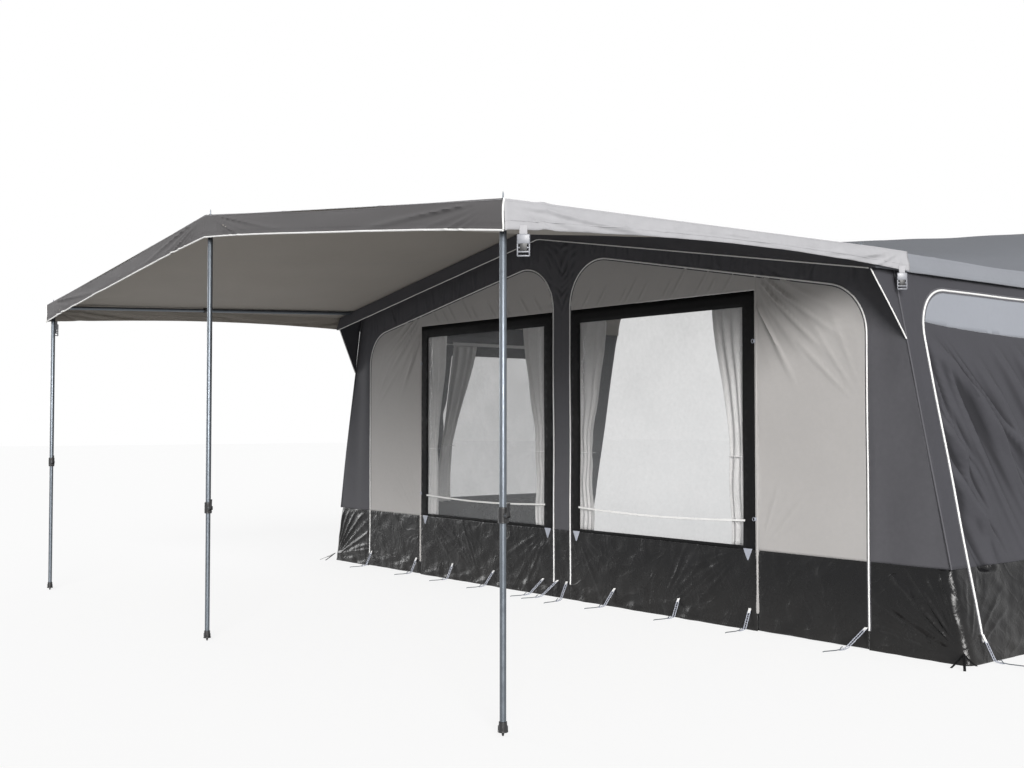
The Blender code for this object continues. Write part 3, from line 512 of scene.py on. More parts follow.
def cut_sheet(outlines, spacing):
    """Points and triangles of a flat cut with evenly spread points inside."""
    loops = [divide(loop, spacing) for loop in outlines]
    rim = [p for loop in loops for p in loop]
    edges, start = [], 0
    for loop in loops:
        count = len(loop)
        edges += [(start + k, start + (k + 1) % count) for k in range(count)]
        start += count
    tree = KDTree(len(rim))
    for k, (u, v) in enumerate(rim):
        tree.insert((u, v, 0), k)
    tree.balance()
    low, high = np.min(rim, 0), np.max(rim, 0)
    inside = []
    for j, v in enumerate(np.arange(low[1], high[1], spacing * 0.87)):
        for u in np.arange(low[0] + (j % 2) * spacing / 2, high[0], spacing):
            if tree.find((u, v, 0))[2] > 0.55 * spacing:
                inside.append((u, v))
    points = [Vector(p) for p in rim + inside]
    made = delaunay_2d_cdt(points, edges, [], 1, 1e-6)
    flat = np.array([p[:] for p in made[0]])
    faces = np.array(made[2])
    faces = faces[within(flat[faces].mean(1), loops)]
    used, faces = np.unique(faces, return_inverse=True)
    return flat[used], [tuple(face) for face in faces.reshape(-1, 3).tolist()]


def within(points, loops):
    """True for points inside the outlines and outside their holes."""
    inside = np.zeros(len(points), bool)
    u, v = points[:, 0], points[:, 1]
    for loop in loops:
        for a, b in zip(loop, loop[1:] + loop[:1]):
            if a[1] == b[1]:
                continue
            spans = (a[1] > v) != (b[1] > v)
            inside ^= spans & (u < a[0] + (b[0] - a[0]) * (v - a[1]) / (b[1] - a[1]))
    return inside


def patch(name, outlines, plane, lift, material, spacing):
    """A sheet cut to outlines in a plane, raised by lift along the outward direction."""
    flat, faces = cut_sheet(outlines, spacing)
    origin, across, upward, outward = plane
    u, v = flat[:, 0], flat[:, 1]
    points = origin + np.outer(u, across) + np.outer(v, upward) + np.outer(lift(u, v), outward)
    if np.dot(np.cross(across, upward), outward) < 0:
        faces = [face[::-1] for face in faces]
    mesh = bpy.data.meshes.new(name)
    mesh.from_pydata(points.tolist(), [], faces)
    smooth(mesh)
    item = link(name, mesh, [look(material)])
    thicken(item, 0)
    return item


def mark_painted_fold_shade(item, plane, lift, reach, depth):
    """Mark each point of a sheet by how deep it lies in a fold, from 0 to 1, for the shade painted into the
    fold valleys.
    """
    points = np.array([corner.co[:] for corner in item.data.vertices]) - plane[0]
    u, v = points @ plane[1], points @ plane[2]
    steps = ((reach, 0), (-reach, 0), (0, reach), (0, -reach))
    around = sum(lift(u + du, v + dv) for du, dv in steps) / 4
    deep = np.clip((around - lift(u, v)) / depth, 0, 1).astype(np.float32)
    item.data.attributes.new("painted_fold_shade", "FLOAT", "POINT").data.foreach_set("value", deep)


def dress(item, body, nodes):
    """Let a piece ride on a body in place of the solids named."""
    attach(item, body)
    if nodes:
        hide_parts(*nodes)
    return item


def trim(item, body="awning"):
    """Let an extra ride on a body."""
    return dress(item, body, [])


def hang(name, node, outlines, plane, lift, material, spacing=0.03, painted_fold_shade=None, body="awning",
         held="hung", rests="front_surround", strip=0.0):
    """Cut a sheet and hang it for a node.

    painted_fold_shade is the reach and depth of the folds to mark; strip, the width of a cut sewn of strips,
    is not used.
    """
    item = patch(name, outlines, plane, lift, material, spacing)
    # Painted shade: mark the fold valleys that the cloth's colour darkens.
    if painted_fold_shade:
        mark_painted_fold_shade(item, plane, lift, *painted_fold_shade)
    dress(item, body, [node])


class Shape:
    """Collects bits of mesh for one piece."""

    def __init__(self):
        self.points = []
        self.faces = []
        self.kinds = []

    def add(self, points, faces, kind=0):
        """Add a bit."""
        start = len(self.points)
        self.points += [tuple(map(float, p)) for p in points]
        self.faces += [tuple(start + k for k in face) for face in faces]
        self.kinds += [kind] * len(faces)

    def sweep(self, path, ring, up, kind=0, closed=False):
        """Carry a ring of (across, out) offsets along a path; up gives the out direction."""
        path = np.array(path, float)
        if closed:
            step = np.roll(path, -1, 0) - np.roll(path, 1, 0)
        else:
            step = np.gradient(path, axis=0)
        step /= np.linalg.norm(step, axis=1)[:, None]
        ups = np.broadcast_to(np.array(up, float), path.shape)
        out = ups - step * np.sum(ups * step, 1)[:, None]
        out /= np.linalg.norm(out, axis=1)[:, None]
        across = np.cross(step, out)
        count, turns = len(path), len(ring)
        points = [path[k] + across[k] * a + out[k] * b for k in range(count) for a, b in ring]
        faces = []
        for k in range(count if closed else count - 1):
            for n in range(turns):
                a, b = k * turns + n, k * turns + (n + 1) % turns
                c, d = ((k + 1) % count) * turns + (n + 1) % turns, ((k + 1) % count) * turns + n
                faces.append((a, b, c, d))
        if not closed:
            faces.append(tuple(range(turns))[::-1])
            faces.append(tuple((count - 1) * turns + n for n in range(turns)))
        self.add(points, faces, kind)

    def tube(self, path, radius, up, kind=0, turns=8, closed=False):
        """A round tube along a path."""
        self.sweep(path, ring_of(radius, radius, turns), up, kind, closed)

    def lathe(self, profile, place, kind=0, turns=28, closed=False):
        """A turned form: the profile runs down its outer side."""
        points, faces, rings = [], [], []
        for radius, z in profile:
            if radius == 0:
                rings.append([len(points)] * turns)
                points.append(Vector((0, 0, z)))
                continue
            rings.append(list(range(len(points), len(points) + turns)))
            for n in range(turns):
                t = 2 * math.pi * n / turns
                points.append(Vector((radius * math.cos(t), radius * math.sin(t), z)))
        pairs = list(zip(rings, rings[1:])) + ([(rings[-1], rings[0])] if closed else [])
        for top, foot in pairs:
            for n in range(turns):
                face = (top[n], foot[n], foot[(n + 1) % turns], top[(n + 1) % turns])
                face = tuple(dict.fromkeys(face))
                if len(face) > 2:
                    faces.append(face)
        self.add([place @ p for p in points], faces, kind)

    def take(self, form, place, kind=0):
        """Add a form, put in its place."""
        bmesh.ops.transform(form, matrix=place, verts=form.verts)
        form.verts.index_update()
        self.add([v.co[:] for v in form.verts], [[v.index for v in f.verts] for f in form.faces], kind)
        form.free()

    def block(self, low, high, place, kind=0, bevel=0.001, segments=2):
        """A box with rounded edges."""
        form = bmesh.new()
        bmesh.ops.create_cube(form, size=1)
        low, high = Vector(low), Vector(high)
        bmesh.ops.scale(form, vec=high - low, verts=form.verts)
        bmesh.ops.translate(form, vec=(low + high) / 2, verts=form.verts)
        bmesh.ops.bevel(form, geom=form.edges[:], offset=bevel, segments=segments, affect="EDGES",
                        profile=0.5, clamp_overlap=True)
        self.take(form, place, kind)

    def plate(self, outline, thickness, place):
        """A flat plate of an outline of (x, z) points, its thickness along y."""
        form = bmesh.new()
        ring = [form.verts.new((x, -thickness / 2, z)) for x, z in outline]
        made = bmesh.ops.extrude_face_region(form, geom=[form.faces.new(ring)])
        moved = [g for g in made["geom"] if isinstance(g, bmesh.types.BMVert)]
        bmesh.ops.translate(form, vec=(0, thickness, 0), verts=moved)
        bmesh.ops.recalc_face_normals(form, faces=form.faces)
        rim = [e for e in form.edges if e.calc_face_angle(0) > 0.9]
        bmesh.ops.bevel(form, geom=rim, offset=0.0006, segments=1, affect="EDGES", clamp_overlap=True)
        self.take(form, place)

    def make(self, name, looks, angle=40):
        """The finished object."""
        mesh = bpy.data.meshes.new(name)
        mesh.from_pydata(self.points, [], self.faces)
        mesh.polygons.foreach_set("material_index", np.array(self.kinds, np.int32))
        form = bmesh.new()
        form.from_mesh(mesh)
        bmesh.ops.recalc_face_normals(form, faces=form.faces)
        form.to_mesh(mesh)
        form.free()
        smooth(mesh, angle)
        return link(name, mesh, looks)

    def trim(self, name, material, slot):
        """The finished object as trim of one material on the awning."""
        return trim(self.make(name, [look(material)]))


def ring_of(across, out, turns=8):
    """An oval ring of offsets."""
    angles = [2 * math.pi * n / turns for n in range(turns)]
    return [(across * math.cos(t), out * math.sin(t)) for t in angles]


def strip_ring(half, thick):
    """A flat strip's ring of offsets with rounded edges."""
    edge = thick / 2
    return [(-half + edge, -edge), (half - edge, -edge), (half, 0), (half - edge, edge),
            (-half + edge, edge), (-half, 0)]


def mirrored(loop, side):
    """A line or outline, mirrored where side is -1."""
    return [(side * x, z) for x, z in loop]


def box_loop(left, bottom, right, top, side=1):
    """A rectangle's outline, mirrored where side is -1."""
    return mirrored([(left, bottom), (right, bottom), (right, top), (left, top)], side)


def along_wall(points, plane, lift, out):
    """Points on a wall's cloth along a line in its plane, stood off by out."""
    path = []
    for a, b in zip(points, points[1:]):
        steps = max(1, round(math.dist(a, b) / 0.025))
        path += [(a[0] + (b[0] - a[0]) * k / steps, a[1] + (b[1] - a[1]) * k / steps)
                 for k in range(steps)]
    path.append(points[-1])
    u, v = np.array(path).T
    origin, across, upward, outward = plane
    return origin + np.outer(u, across) + np.outer(v, upward) + np.outer(lift(u, v) + out, outward)


# Materials
def new_group(name, inputs, outputs):
    """A shader node group with named sockets; returns its tree, its input and its output node."""
    tree = bpy.data.node_groups.new(name, "ShaderNodeTree")
    for label, kind, default in inputs:
        socket = tree.interface.new_socket(label, in_out="INPUT", socket_type=kind)
        if default is not None:
            socket.default_value = default
    for label, kind in outputs:
        tree.interface.new_socket(label, in_out="OUTPUT", socket_type=kind)
    return tree, tree.nodes.new("NodeGroupInput"), tree.nodes.new("NodeGroupOutput")


def add_node(tree, kind, links=(), **values):
    """A node with its settings, socket values and incoming links."""
    node = tree.nodes.new(kind)
    for key, value in values.items():
        if hasattr(node, key):
            setattr(node, key, value)
        else:
            node.inputs[key.replace("_", " ").title()].default_value = value
    for socket, source in links:
        tree.links.new(source, node.inputs[socket])
    return node


def maths(tree, operation, first, second):
    """A Math node; numbers are set on its sockets and sources are linked."""
    node = tree.nodes.new("ShaderNodeMath")
    node.operation = operation
    for k, value in enumerate((first, second)):
        if isinstance(value, (int, float)):
            node.inputs[k].default_value = value
        else:
            tree.links.new(value, node.inputs[k])
    return node.outputs[0]


def weave_group():
    """Crossed threads for cloth that faces any way."""
    tree, given, result = new_group(
        "weave", [("Vector", "NodeSocketVector", None), ("Threads per metre", "NodeSocketFloat", 900.0)],
        [("Height", "NodeSocketFloat")])
    split = add_node(tree, "ShaderNodeSeparateXYZ", [(0, given.outputs["Vector"])])
    total = None
    for axis in range(3):
        turn = maths(tree, "MULTIPLY", split.outputs[axis], given.outputs["Threads per metre"])
        wave = maths(tree, "SINE", turn, 0.0)
        total = wave if total is None else maths(tree, "ADD", total, wave)
    tree.links.new(maths(tree, "MULTIPLY", total, 0.33), result.inputs["Height"])
    return tree


def mottle_group():
    """Cloudy variation with a finer grain in it."""
    tree, given, result = new_group(
        "mottle", [("Vector", "NodeSocketVector", None), ("Scale", "NodeSocketFloat", 2.0)],
        [("Mask", "NodeSocketFloat")])
    cloud = add_node(tree, "ShaderNodeTexNoise", [("Vector", given.outputs["Vector"]),
                                                ("Scale", given.outputs["Scale"])], detail=5.0)
    fine = maths(tree, "MULTIPLY", given.outputs["Scale"], 14.0)
    grain = add_node(tree, "ShaderNodeTexNoise", [("Vector", given.outputs["Vector"]), ("Scale", fine)],
                     detail=2.0)
    mixed = maths(tree, "MULTIPLY", grain.outputs[0], 0.35)
    mixed = maths(tree, "ADD", maths(tree, "MULTIPLY", cloud.outputs[0], 0.65), mixed)
    tree.links.new(mixed, result.inputs["Mask"])
    return tree


def crinkle_group():
    """Small sharp creases of coated cloth."""
    tree, given, result = new_group(
        "crinkle", [("Vector", "NodeSocketVector", None), ("Scale", "NodeSocketFloat", 12.0)],
        [("Height", "NodeSocketFloat")])
    folds = add_node(tree, "ShaderNodeTexNoise", [("Vector", given.outputs["Vector"]),
                                                ("Scale", given.outputs["Scale"])],
                     detail=2.0, roughness=0.55, distortion=1.4)
    away = maths(tree, "ABSOLUTE", maths(tree, "SUBTRACT", folds.outputs[0], 0.5), 0.0)
    ridge = maths(tree, "SUBTRACT", 1.0, maths(tree, "MINIMUM", maths(tree, "MULTIPLY", away, 9.0), 1.0))
    tree.links.new(maths(tree, "POWER", ridge, 1.6), result.inputs["Height"])
    return tree


def ground_group():
    """Dust that gathers near the ground."""
    tree, given, result = new_group("ground dust", [("Vector", "NodeSocketVector", None)],
                                    [("Mask", "NodeSocketFloat")])
    split = add_node(tree, "ShaderNodeSeparateXYZ", [(0, given.outputs["Vector"])])
    low = add_node(tree, "ShaderNodeMapRange", [(0, split.outputs[2])])
    for k, value in ((1, 0.0), (2, 0.35), (3, 1.0), (4, 0.0)):
        low.inputs[k].default_value = value
    patches = add_node(tree, "ShaderNodeTexNoise", [("Vector", given.outputs["Vector"])], scale=5.0,
                       detail=6.0)
    tree.links.new(maths(tree, "MULTIPLY", low.outputs[0], patches.outputs[0]), result.inputs["Mask"])
    return tree


def start_material(name, base, roughness, metallic=0.0):
    """A Principled material with its coordinates; returns it with tree, shader and vector."""
    material = bpy.data.materials.new(name)
    material.use_nodes = True
    tree = material.node_tree
    shader = tree.nodes["Principled BSDF"]
    shader.inputs["Base Color"].default_value = (*base, 1)
    shader.inputs["Roughness"].default_value = roughness
    shader.inputs["Metallic"].default_value = metallic
    place = tree.nodes.new("ShaderNodeTexCoord")
    return material, tree, shader, place.outputs["Object"]


def use_group(tree, name, vector, **values):
    """Place a shared group in a material."""
    node = tree.nodes.new("ShaderNodeGroup")
    node.node_tree = bpy.data.node_groups[name]
    tree.links.new(vector, node.inputs["Vector"])
    for key, value in values.items():
        node.inputs[key.replace("_", " ").capitalize()].default_value = value
    return node.outputs[0]


def tint(tree, factor, first, second):
    """Mix two colours by a factor."""
    node = tree.nodes.new("ShaderNodeMix")
    node.data_type = "RGBA"
    tree.links.new(factor, node.inputs[0])
    for k, value in ((6, first), (7, second)):
        if hasattr(value, "links"):
            tree.links.new(value, node.inputs[k])
        else:
            node.inputs[k].default_value = (*value, 1)
    return node.outputs[2]


def shaded(base, factor):
    """A colour made lighter or darker."""
    return tuple(min(1.0, c * factor) for c in base)


def bump(tree, shader, height, distance, strength=1.0):
    """Feed a height to the shader's normal."""
    node = tree.nodes.new("ShaderNodeBump")
    node.inputs["Strength"].default_value = strength
    node.inputs["Distance"].default_value = distance
    tree.links.new(height, node.inputs["Height"])
    tree.links.new(node.outputs[0], shader.inputs["Normal"])


def vary(tree, shader, vector, base, roughness, scale, spread, dust=0.0):
    """Vary colour and roughness over the surface; returns the mask."""
    mask = use_group(tree, "mottle", vector, scale=scale)
    stretch = tree.nodes.new("ShaderNodeMapRange")
    tree.links.new(mask, stretch.inputs[0])
    stretch.inputs[1].default_value = 0.35
    stretch.inputs[2].default_value = 0.65
    mask = stretch.outputs[0]
    paint = tint(tree, mask, shaded(base, 1 - spread), shaded(base, 1 + spread))
    if dust:
        dusty = maths(tree, "MULTIPLY", use_group(tree, "ground dust", vector), dust)
        paint = tint(tree, dusty, paint, (0.3, 0.28, 0.25))
    tree.links.new(paint, shader.inputs["Base Color"])
    rough = maths(tree, "MULTIPLY", mask, 0.16)
    tree.links.new(maths(tree, "ADD", rough, roughness - 0.08), shader.inputs["Roughness"])
    return mask


def cloth(name, base, roughness=0.75, threads=5200.0, depth=0.00012, spread=0.05, sheen=0.15, dust=0.0,
          painted_fold_shade=0.0):
    """Woven cloth; painted_fold_shade is how much painted shade darkens it where its points are marked as
    deep in a fold.
    """
    material, tree, shader, vector = start_material(name, base, roughness)
    shader.inputs["Sheen Weight"].default_value = sheen
    shader.inputs["Specular IOR Level"].default_value = 0.12
    shader.inputs["Sheen Roughness"].default_value = 0.4
    mask = vary(tree, shader, vector, base, roughness, 2.6, spread, dust)
    # Painted shade: the base colour darkens towards 0.3 of itself in the marked fold valleys.
    if painted_fold_shade:
        deep = tree.nodes.new("ShaderNodeAttribute")
        deep.attribute_name = "painted_fold_shade"
        paint = shader.inputs["Base Color"].links[0].from_socket
        share = maths(tree, "MULTIPLY", deep.outputs["Fac"], painted_fold_shade)
        tree.links.new(tint(tree, share, paint, shaded(base, 0.3)), shader.inputs["Base Color"])
    weave = maths(tree, "MULTIPLY", use_group(tree, "weave", vector, threads_per_metre=threads), depth)
    soft = maths(tree, "MULTIPLY", mask, 0.0012)
    bump(tree, shader, maths(tree, "ADD", weave, soft), 1.0, 0.6)
    return material


def coated(name, base, roughness=0.27, scale=4.5, depth=0.0024, spread=0.12, dust=0.06):
    """Coated cloth with small creases."""
    material, tree, shader, vector = start_material(name, base, roughness)
    shader.inputs["Specular IOR Level"].default_value = 0.24
    mask = vary(tree, shader, vector, base, roughness, 4.0, spread, dust)
    crease_height = maths(tree, "MULTIPLY", use_group(tree, "crinkle", vector, scale=scale), depth)
    fine = maths(tree, "MULTIPLY", use_group(tree, "crinkle", vector, scale=scale * 3.1), depth * 0.3)
    weave = maths(tree, "MULTIPLY", use_group(tree, "weave", vector, threads_per_metre=4200.0), 0.00005)
    total = maths(tree, "ADD", maths(tree, "ADD", crease_height, fine), weave)
    bump(tree, shader, maths(tree, "ADD", total, maths(tree, "MULTIPLY", mask, 0.0006)), 1.0, 0.55)
    return material


def zinc(name, base, roughness=0.3):
    """Galvanised tube with drawn streaks and a faint spangle."""
    material, tree, shader, vector = start_material(name, base, roughness, 0.9)
    mask = vary(tree, shader, vector, base, roughness, 40.0, 0.08)
    stretch = add_node(tree, "ShaderNodeMapping", [(0, vector)])
    stretch.inputs["Scale"].default_value = (260, 260, 6)
    streak = add_node(tree, "ShaderNodeTexNoise", [("Vector", stretch.outputs[0])], scale=1.0, detail=3.0)
    height = maths(tree, "ADD", maths(tree, "MULTIPLY", streak.outputs[0], 0.0001),
                   maths(tree, "MULTIPLY", mask, 0.0001))
    bump(tree, shader, height, 1.0, 0.5)
    return material


def moulded(name, base, roughness=0.42, grain=420.0, depth=0.00008, spread=0.08):
    """Moulded plastic with a fine grain."""
    material, tree, shader, vector = start_material(name, base, roughness)
    vary(tree, shader, vector, base, roughness, 30.0, spread)
    pores = add_node(tree, "ShaderNodeTexNoise", [("Vector", vector)], scale=grain, detail=3.0)
    bump(tree, shader, maths(tree, "MULTIPLY", pores.outputs[0], depth), 1.0, 0.6)
    return material


def clear_foil(name, base, alpha):
    """Clear window foil with a light haze and soft ripples."""
    material, tree, shader, vector = start_material(name, base, 0.12)
    mask = vary(tree, shader, vector, base, 0.14, 3.0, 0.1)
    haze = maths(tree, "ADD", maths(tree, "MULTIPLY", mask, 0.05), alpha - 0.025)
    tree.links.new(haze, shader.inputs["Alpha"])
    ripple = add_node(tree, "ShaderNodeTexNoise", [("Vector", vector)], scale=2.2, detail=1.0)
    scuff = use_group(tree, "crinkle", vector, scale=7.0)
    height = maths(tree, "ADD", maths(tree, "MULTIPLY", ripple.outputs[0], 0.006),
                   maths(tree, "MULTIPLY", scuff, 0.0002))
    bump(tree, shader, height, 1.0, 0.7)
    return material


def look(name):
    """A finished material by its name."""
    return bpy.data.materials[name]


class AWNING_OT_materials(bpy.types.Operator):
    """Mix the cloths, coatings, plastics and zinc"""

    bl_idname = "awning.materials"
    bl_label = "Materials"

    def execute(self, context):
        """Build the shared groups and every material."""
        weave_group()
        mottle_group()
        crinkle_group()
        ground_group()
        c = context.scene.awning_colours
        cloth("canopy_cloth", c.canopy, 0.85, spread=0.03, sheen=0.03)
        cloth("canopy_lining", c.lining, 0.8, spread=0.04)
        cloth("valance_cloth", c.valance, 0.75, spread=0.05, sheen=0.08)
        # The surround, side and panel cloths take painted shade in their fold valleys.
        cloth("surround_cloth", c.surround, 0.7, spread=0.07, sheen=0.02, painted_fold_shade=0.6)
        # Painted shade: the side walls' cloth is the surround's cloth, made darker.
        cloth("side_cloth_painted_shade", c.side, 0.7, spread=0.07, sheen=0.02, painted_fold_shade=0.75)
        cloth("panel_cloth", c.panel, 0.75, spread=0.025, painted_fold_shade=0.3)
        cloth("window_cloth", c.window, 0.65, spread=0.1, sheen=0.0)
        cloth("roof_cloth", c.roof, 0.85, spread=0.05, sheen=0.03)
        cloth("band_cloth", c.band, 0.8, spread=0.04, sheen=0.05)
        cloth("light_panel_cloth", c.light_panel, 0.7, spread=0.03, sheen=0.05)
        cloth("curtain_satin", c.curtain, 0.42, threads=9000.0, spread=0.04, sheen=0.5)
        cloth("piping_cloth", c.piping, 0.55, threads=7000.0, spread=0.03)
        coated("skirt_coating", c.skirt)
        clear_foil("window_foil", c.foil, 0.22)
        zinc("zinc", c.zinc, 0.42)
        moulded("black_plastic", c.plastic)
        moulded("fitting_plastic", c.fitting, 0.35)
        moulded("buckle_plastic", c.buckle, 0.38)
        return {"FINISHED"}


class AWNING_OT_canopy(bpy.types.Operator):
    """Hang the sun canopy, its side valances and its front valance"""

    bl_idname = "awning.canopy"
    bl_label = "Sun canopy"

    def execute(self, context):
        """Build the canopy's sheet and its front valance."""
        s = sizes()
        self.sheet(s)
        self.valance(s)
        return {"FINISHED"}

    def sheet(self, s):
        """The roof sheet with both side valances folded down."""
        half = canopy_half()
        start, end = front_y + 0.0025, wall_y + s.canopy_overlap
        y = np.linspace(start, end, 200)[:, None]
        top = np.sin(np.linspace(-math.pi / 2, math.pi / 2, 120))[None, :] * 0.35
        top = (top + np.linspace(-0.65, 0.65, 120)[None, :]) * half
        z = canopy_z(top, y)
        still = np.sin(math.pi * (y - start) / (end - start)) * (1 - ease(1.95, 2.2, np.abs(top)))
        z = z + 0.0035 * noise(top, y * 0.6, 0.35, 71) * still
        for x, v in ((-half + 0.04, start + 0.03), (0, start + 0.03), (half - 0.04, start + 0.03)):
            z = z + 0.5 * fan(top, y, (x, v), (5, 175), 9, (0.02, 0.2, 0.75), 0.012, 73)
        z -= 0.004 * np.exp(-(((y - start) / 0.012) ** 2))
        share = (y - start) / (end - start)
        drop = s.hem_front + (s.hem_rear - s.hem_front) * share - s.hem_bow * np.sin(math.pi * share)
        t = np.linspace(0, 1, hem_steps + 1)[None, 1:]
        fall = drop * t
        columns = [np.stack(np.broadcast_arrays(top, y, z), -1)]
        for side, edge in ((-1, 0), (1, -1)):
            folds = 0.5 * s.fold * noise(y, t * 0.12, 0.18, 75 + side) * np.sin(math.pi * t * 0.6)
            ripple = 0.0016 * noise(y, t * 0.12, 0.05, 76)
            folds = folds + ripple * np.sin(math.pi * t) * ease(start, start + 0.5, y)
            for begin, low, finish, end_low, deep in hem_creases:
                line = ((start + begin, -low), (start + finish, -end_low))
                folds = folds + crease(y, -fall, *line, 0.011, deep)
            folds = folds + 0.0014 * ease(0.60, 0.64, t)
            folds = folds + fan(y, -fall, (start - 0.02, 0.01), (-60, -2), 5, (0.03, 0.3, 1.1), 0.012, 77)
            folds = folds + fan(y, -fall, (end + 0.02, 0.03), (182, 230), 5, (0.03, 0.3, 0.8), 0.01, 79)
            folds = folds - 0.0016 * np.exp(-(((drop - fall - 0.03) / 0.004) ** 2))
            out = half + s.hem_flare * t + folds * ease(0, 0.25, t)
            low = z[:, edge][:, None] - fall - 0.003 * (1 - np.exp(-t * 8))
            band = np.stack(np.broadcast_arrays(side * out, y, low), -1)
            columns = [band[:, ::-1]] + columns if side < 0 else columns + [band]
        looks = [look("canopy_cloth"), look("canopy_lining")]
        item = grid("canopy_sheet", np.concatenate(columns, 1), looks, lining=1)
        dress(item, "awning", ["canopy_roof"])

    def valance(self, s):
        """The front valance with its folds."""
        half = canopy_half()
        x = np.linspace(-half, half, 361)[None, :]
        t = np.linspace(0, 1, 15)[:, None]
        a = np.abs(x)
        drop = s.valance_drop - s.valance_bow * np.sin(math.pi * a / half)
        top = canopy_z(x, front_y) + 0.001 - 0.012 * np.sin(math.pi * a / half) ** 2
        z = top - drop * t
        v = -drop * t
        folds = fan(a, v, (half + 0.01, 0.005), (181, 215), 6, (0.03, 0.4, 1.5), 0.016, 81)
        folds = folds + fan(a, v, (-0.02, 0.01), (-30, -2), 6, (0.02, 0.25, 1.1), 0.014, 83)
        folds = folds + 0.003 * noise(x, v, 0.5, 85) * np.sin(math.pi * t)
        folds = folds - 0.0015 * np.exp(-(((t - 0.88) / 0.03) ** 2))
        y = front_y + 0.001 - np.maximum(folds * ease(0, 0.2, t), -0.012)
        y = y + 0.004 * (1 - t) ** 8
        points = np.stack(np.broadcast_arrays(x, y, z), -1)[::-1]
        looks = [look("valance_cloth"), look("canopy_lining")]
        item = grid("canopy_front_valance_cloth", points, looks, lining=1)
        dress(item, "awning", ["canopy_front_valance"])
        white = Shape()
        white.tube(points[0] + np.array((0, -0.002, -0.002)), s.piping_radius, (0, -1, 0))
        for side, edge in ((-1, 0), (1, -1)):
            run = points[::-1, edge] + np.array((side * 0.002, -0.002, 0))
            white.tube(run, s.piping_radius * 0.85, (0, -1, 0))
        white.trim("canopy_piping", "piping_cloth", "canopy_front_valance")


class AWNING_OT_roof(bpy.types.Operator):
    """Lay the room's roof with its bands and its rail bead"""

    bl_idname = "awning.roof"
    bl_label = "Roof"

    def execute(self, context):
        """Build the roof sheet with bands and the bead."""
        s = sizes()
        half, flare = s.eave_half_width, band_flare()
        start, end = wall_y - s.overhang, rear_y - 0.0088
        t = np.linspace(0, 1, band_steps + 1)
        edge = half * np.ones(band_steps)
        across = np.concatenate((-edge, np.linspace(-half, half, 150), edge))
        side_t = np.concatenate((t[:0:-1], np.zeros(150), t[1:]))[None, :]
        sign = np.sign(across)[None, :]
        front_t = np.concatenate((t[:0:-1], np.zeros(110)))[:, None]
        y = np.concatenate((start * np.ones(band_steps), np.linspace(start, end, 110)))[:, None]
        x = across[None, :] * np.ones_like(y)
        z = roof_z(x, y)
        share = np.clip((y - start) / (end - start), 0, 1)
        dip = 0.004 * noise(x, y * 0.7, 0.45, 91) * np.sin(math.pi * share)
        for place in (-leg_place, 0.0, leg_place):
            knot = (place, wall_y + leg_behind)
            dip = dip + 0.4 * fan(x, y, knot, (5, 175), 9, (0.03, 0.25, 0.9), 0.012, 93)
        fall = np.maximum(side_t, front_t)
        rows, cols = np.broadcast_shapes(side_t.shape, front_t.shape)
        wave = noise(y, side_t * 0.1, 0.25, 95) * 0.002 * side_t
        x = x + sign * (side_t * flare + wave)
        ripple = noise(x, front_t * 0.1, 0.2, 97) * 0.0015 * front_t
        y = y - front_t * s.band_lean - ripple
        z = z + dip * (fall == 0) - fall * s.band_drop
        points = np.stack(np.broadcast_arrays(x, y, z), -1)
        kinds = np.zeros((rows - 1, cols - 1))
        kinds[:, :band_steps] = 1
        kinds[:, -band_steps:] = 1
        kinds[:band_steps, :] = 2
        inner = look("canopy_lining")
        looks = [look("roof_cloth"), look("band_cloth"), look("surround_cloth"), inner, inner, inner]
        item = grid("roof_sheet", points, looks, kinds, lining=3, angle=35)
        dress(item, "awning", ["awning_roof"])
        piping = Shape()
        hem = points[0, band_steps:-band_steps] + np.array((0, -0.002, 0))
        piping.tube(hem, 0.0035, (0, -1, 0))
        piping.trim("roof_band_piping", "piping_cloth", "awning_roof")
        bead = Shape()
        x = half * np.sin(np.linspace(-math.pi / 2, math.pi / 2, 121))
        edge = np.stack((x, np.full_like(x, rear_y - 0.004), roof_z(x, np.full_like(x, rear_y))), -1)
        bead.tube(edge, 0.004, (0, 1, 0), turns=12)
        dress(bead.make("rail_bead_cord", [look("black_plastic")]), "awning", ["rail_bead"])
        return {"FINISHED"}


class AWNING_OT_surround(bpy.types.Operator):
    """Hang the front wall's head band and columns"""

    bl_idname = "awning.surround"
    bl_label = "Surround"

    def execute(self, context):
        """Build the surround in one sheet."""
        s = sizes()
        foot = s.mud_height + s.gap
        under = 0.0022
        half = [(s.column_half, foot)] + inner_arc() + outer_arc() + [(s.outer_zip, foot)]
        top = s.eave_height - under
        half += [(wall_x(foot), foot), (wall_x(top), top - 0.004)]
        for x in np.linspace(wall_x(top) - 0.02, 0, 40):
            half.append((float(x), float(roof_z(x, wall_y)) - under))
        other = [(-x, z) for x, z in reversed(half) if x > 0]
        hang("surround_cloth_sheet", "front_surround", [half + other], front_plane(), front_lift,
             "surround_cloth", 0.013, (0.014, 0.0035), rests="awning_roof", strip=0.42)
        return {"FINISHED"}


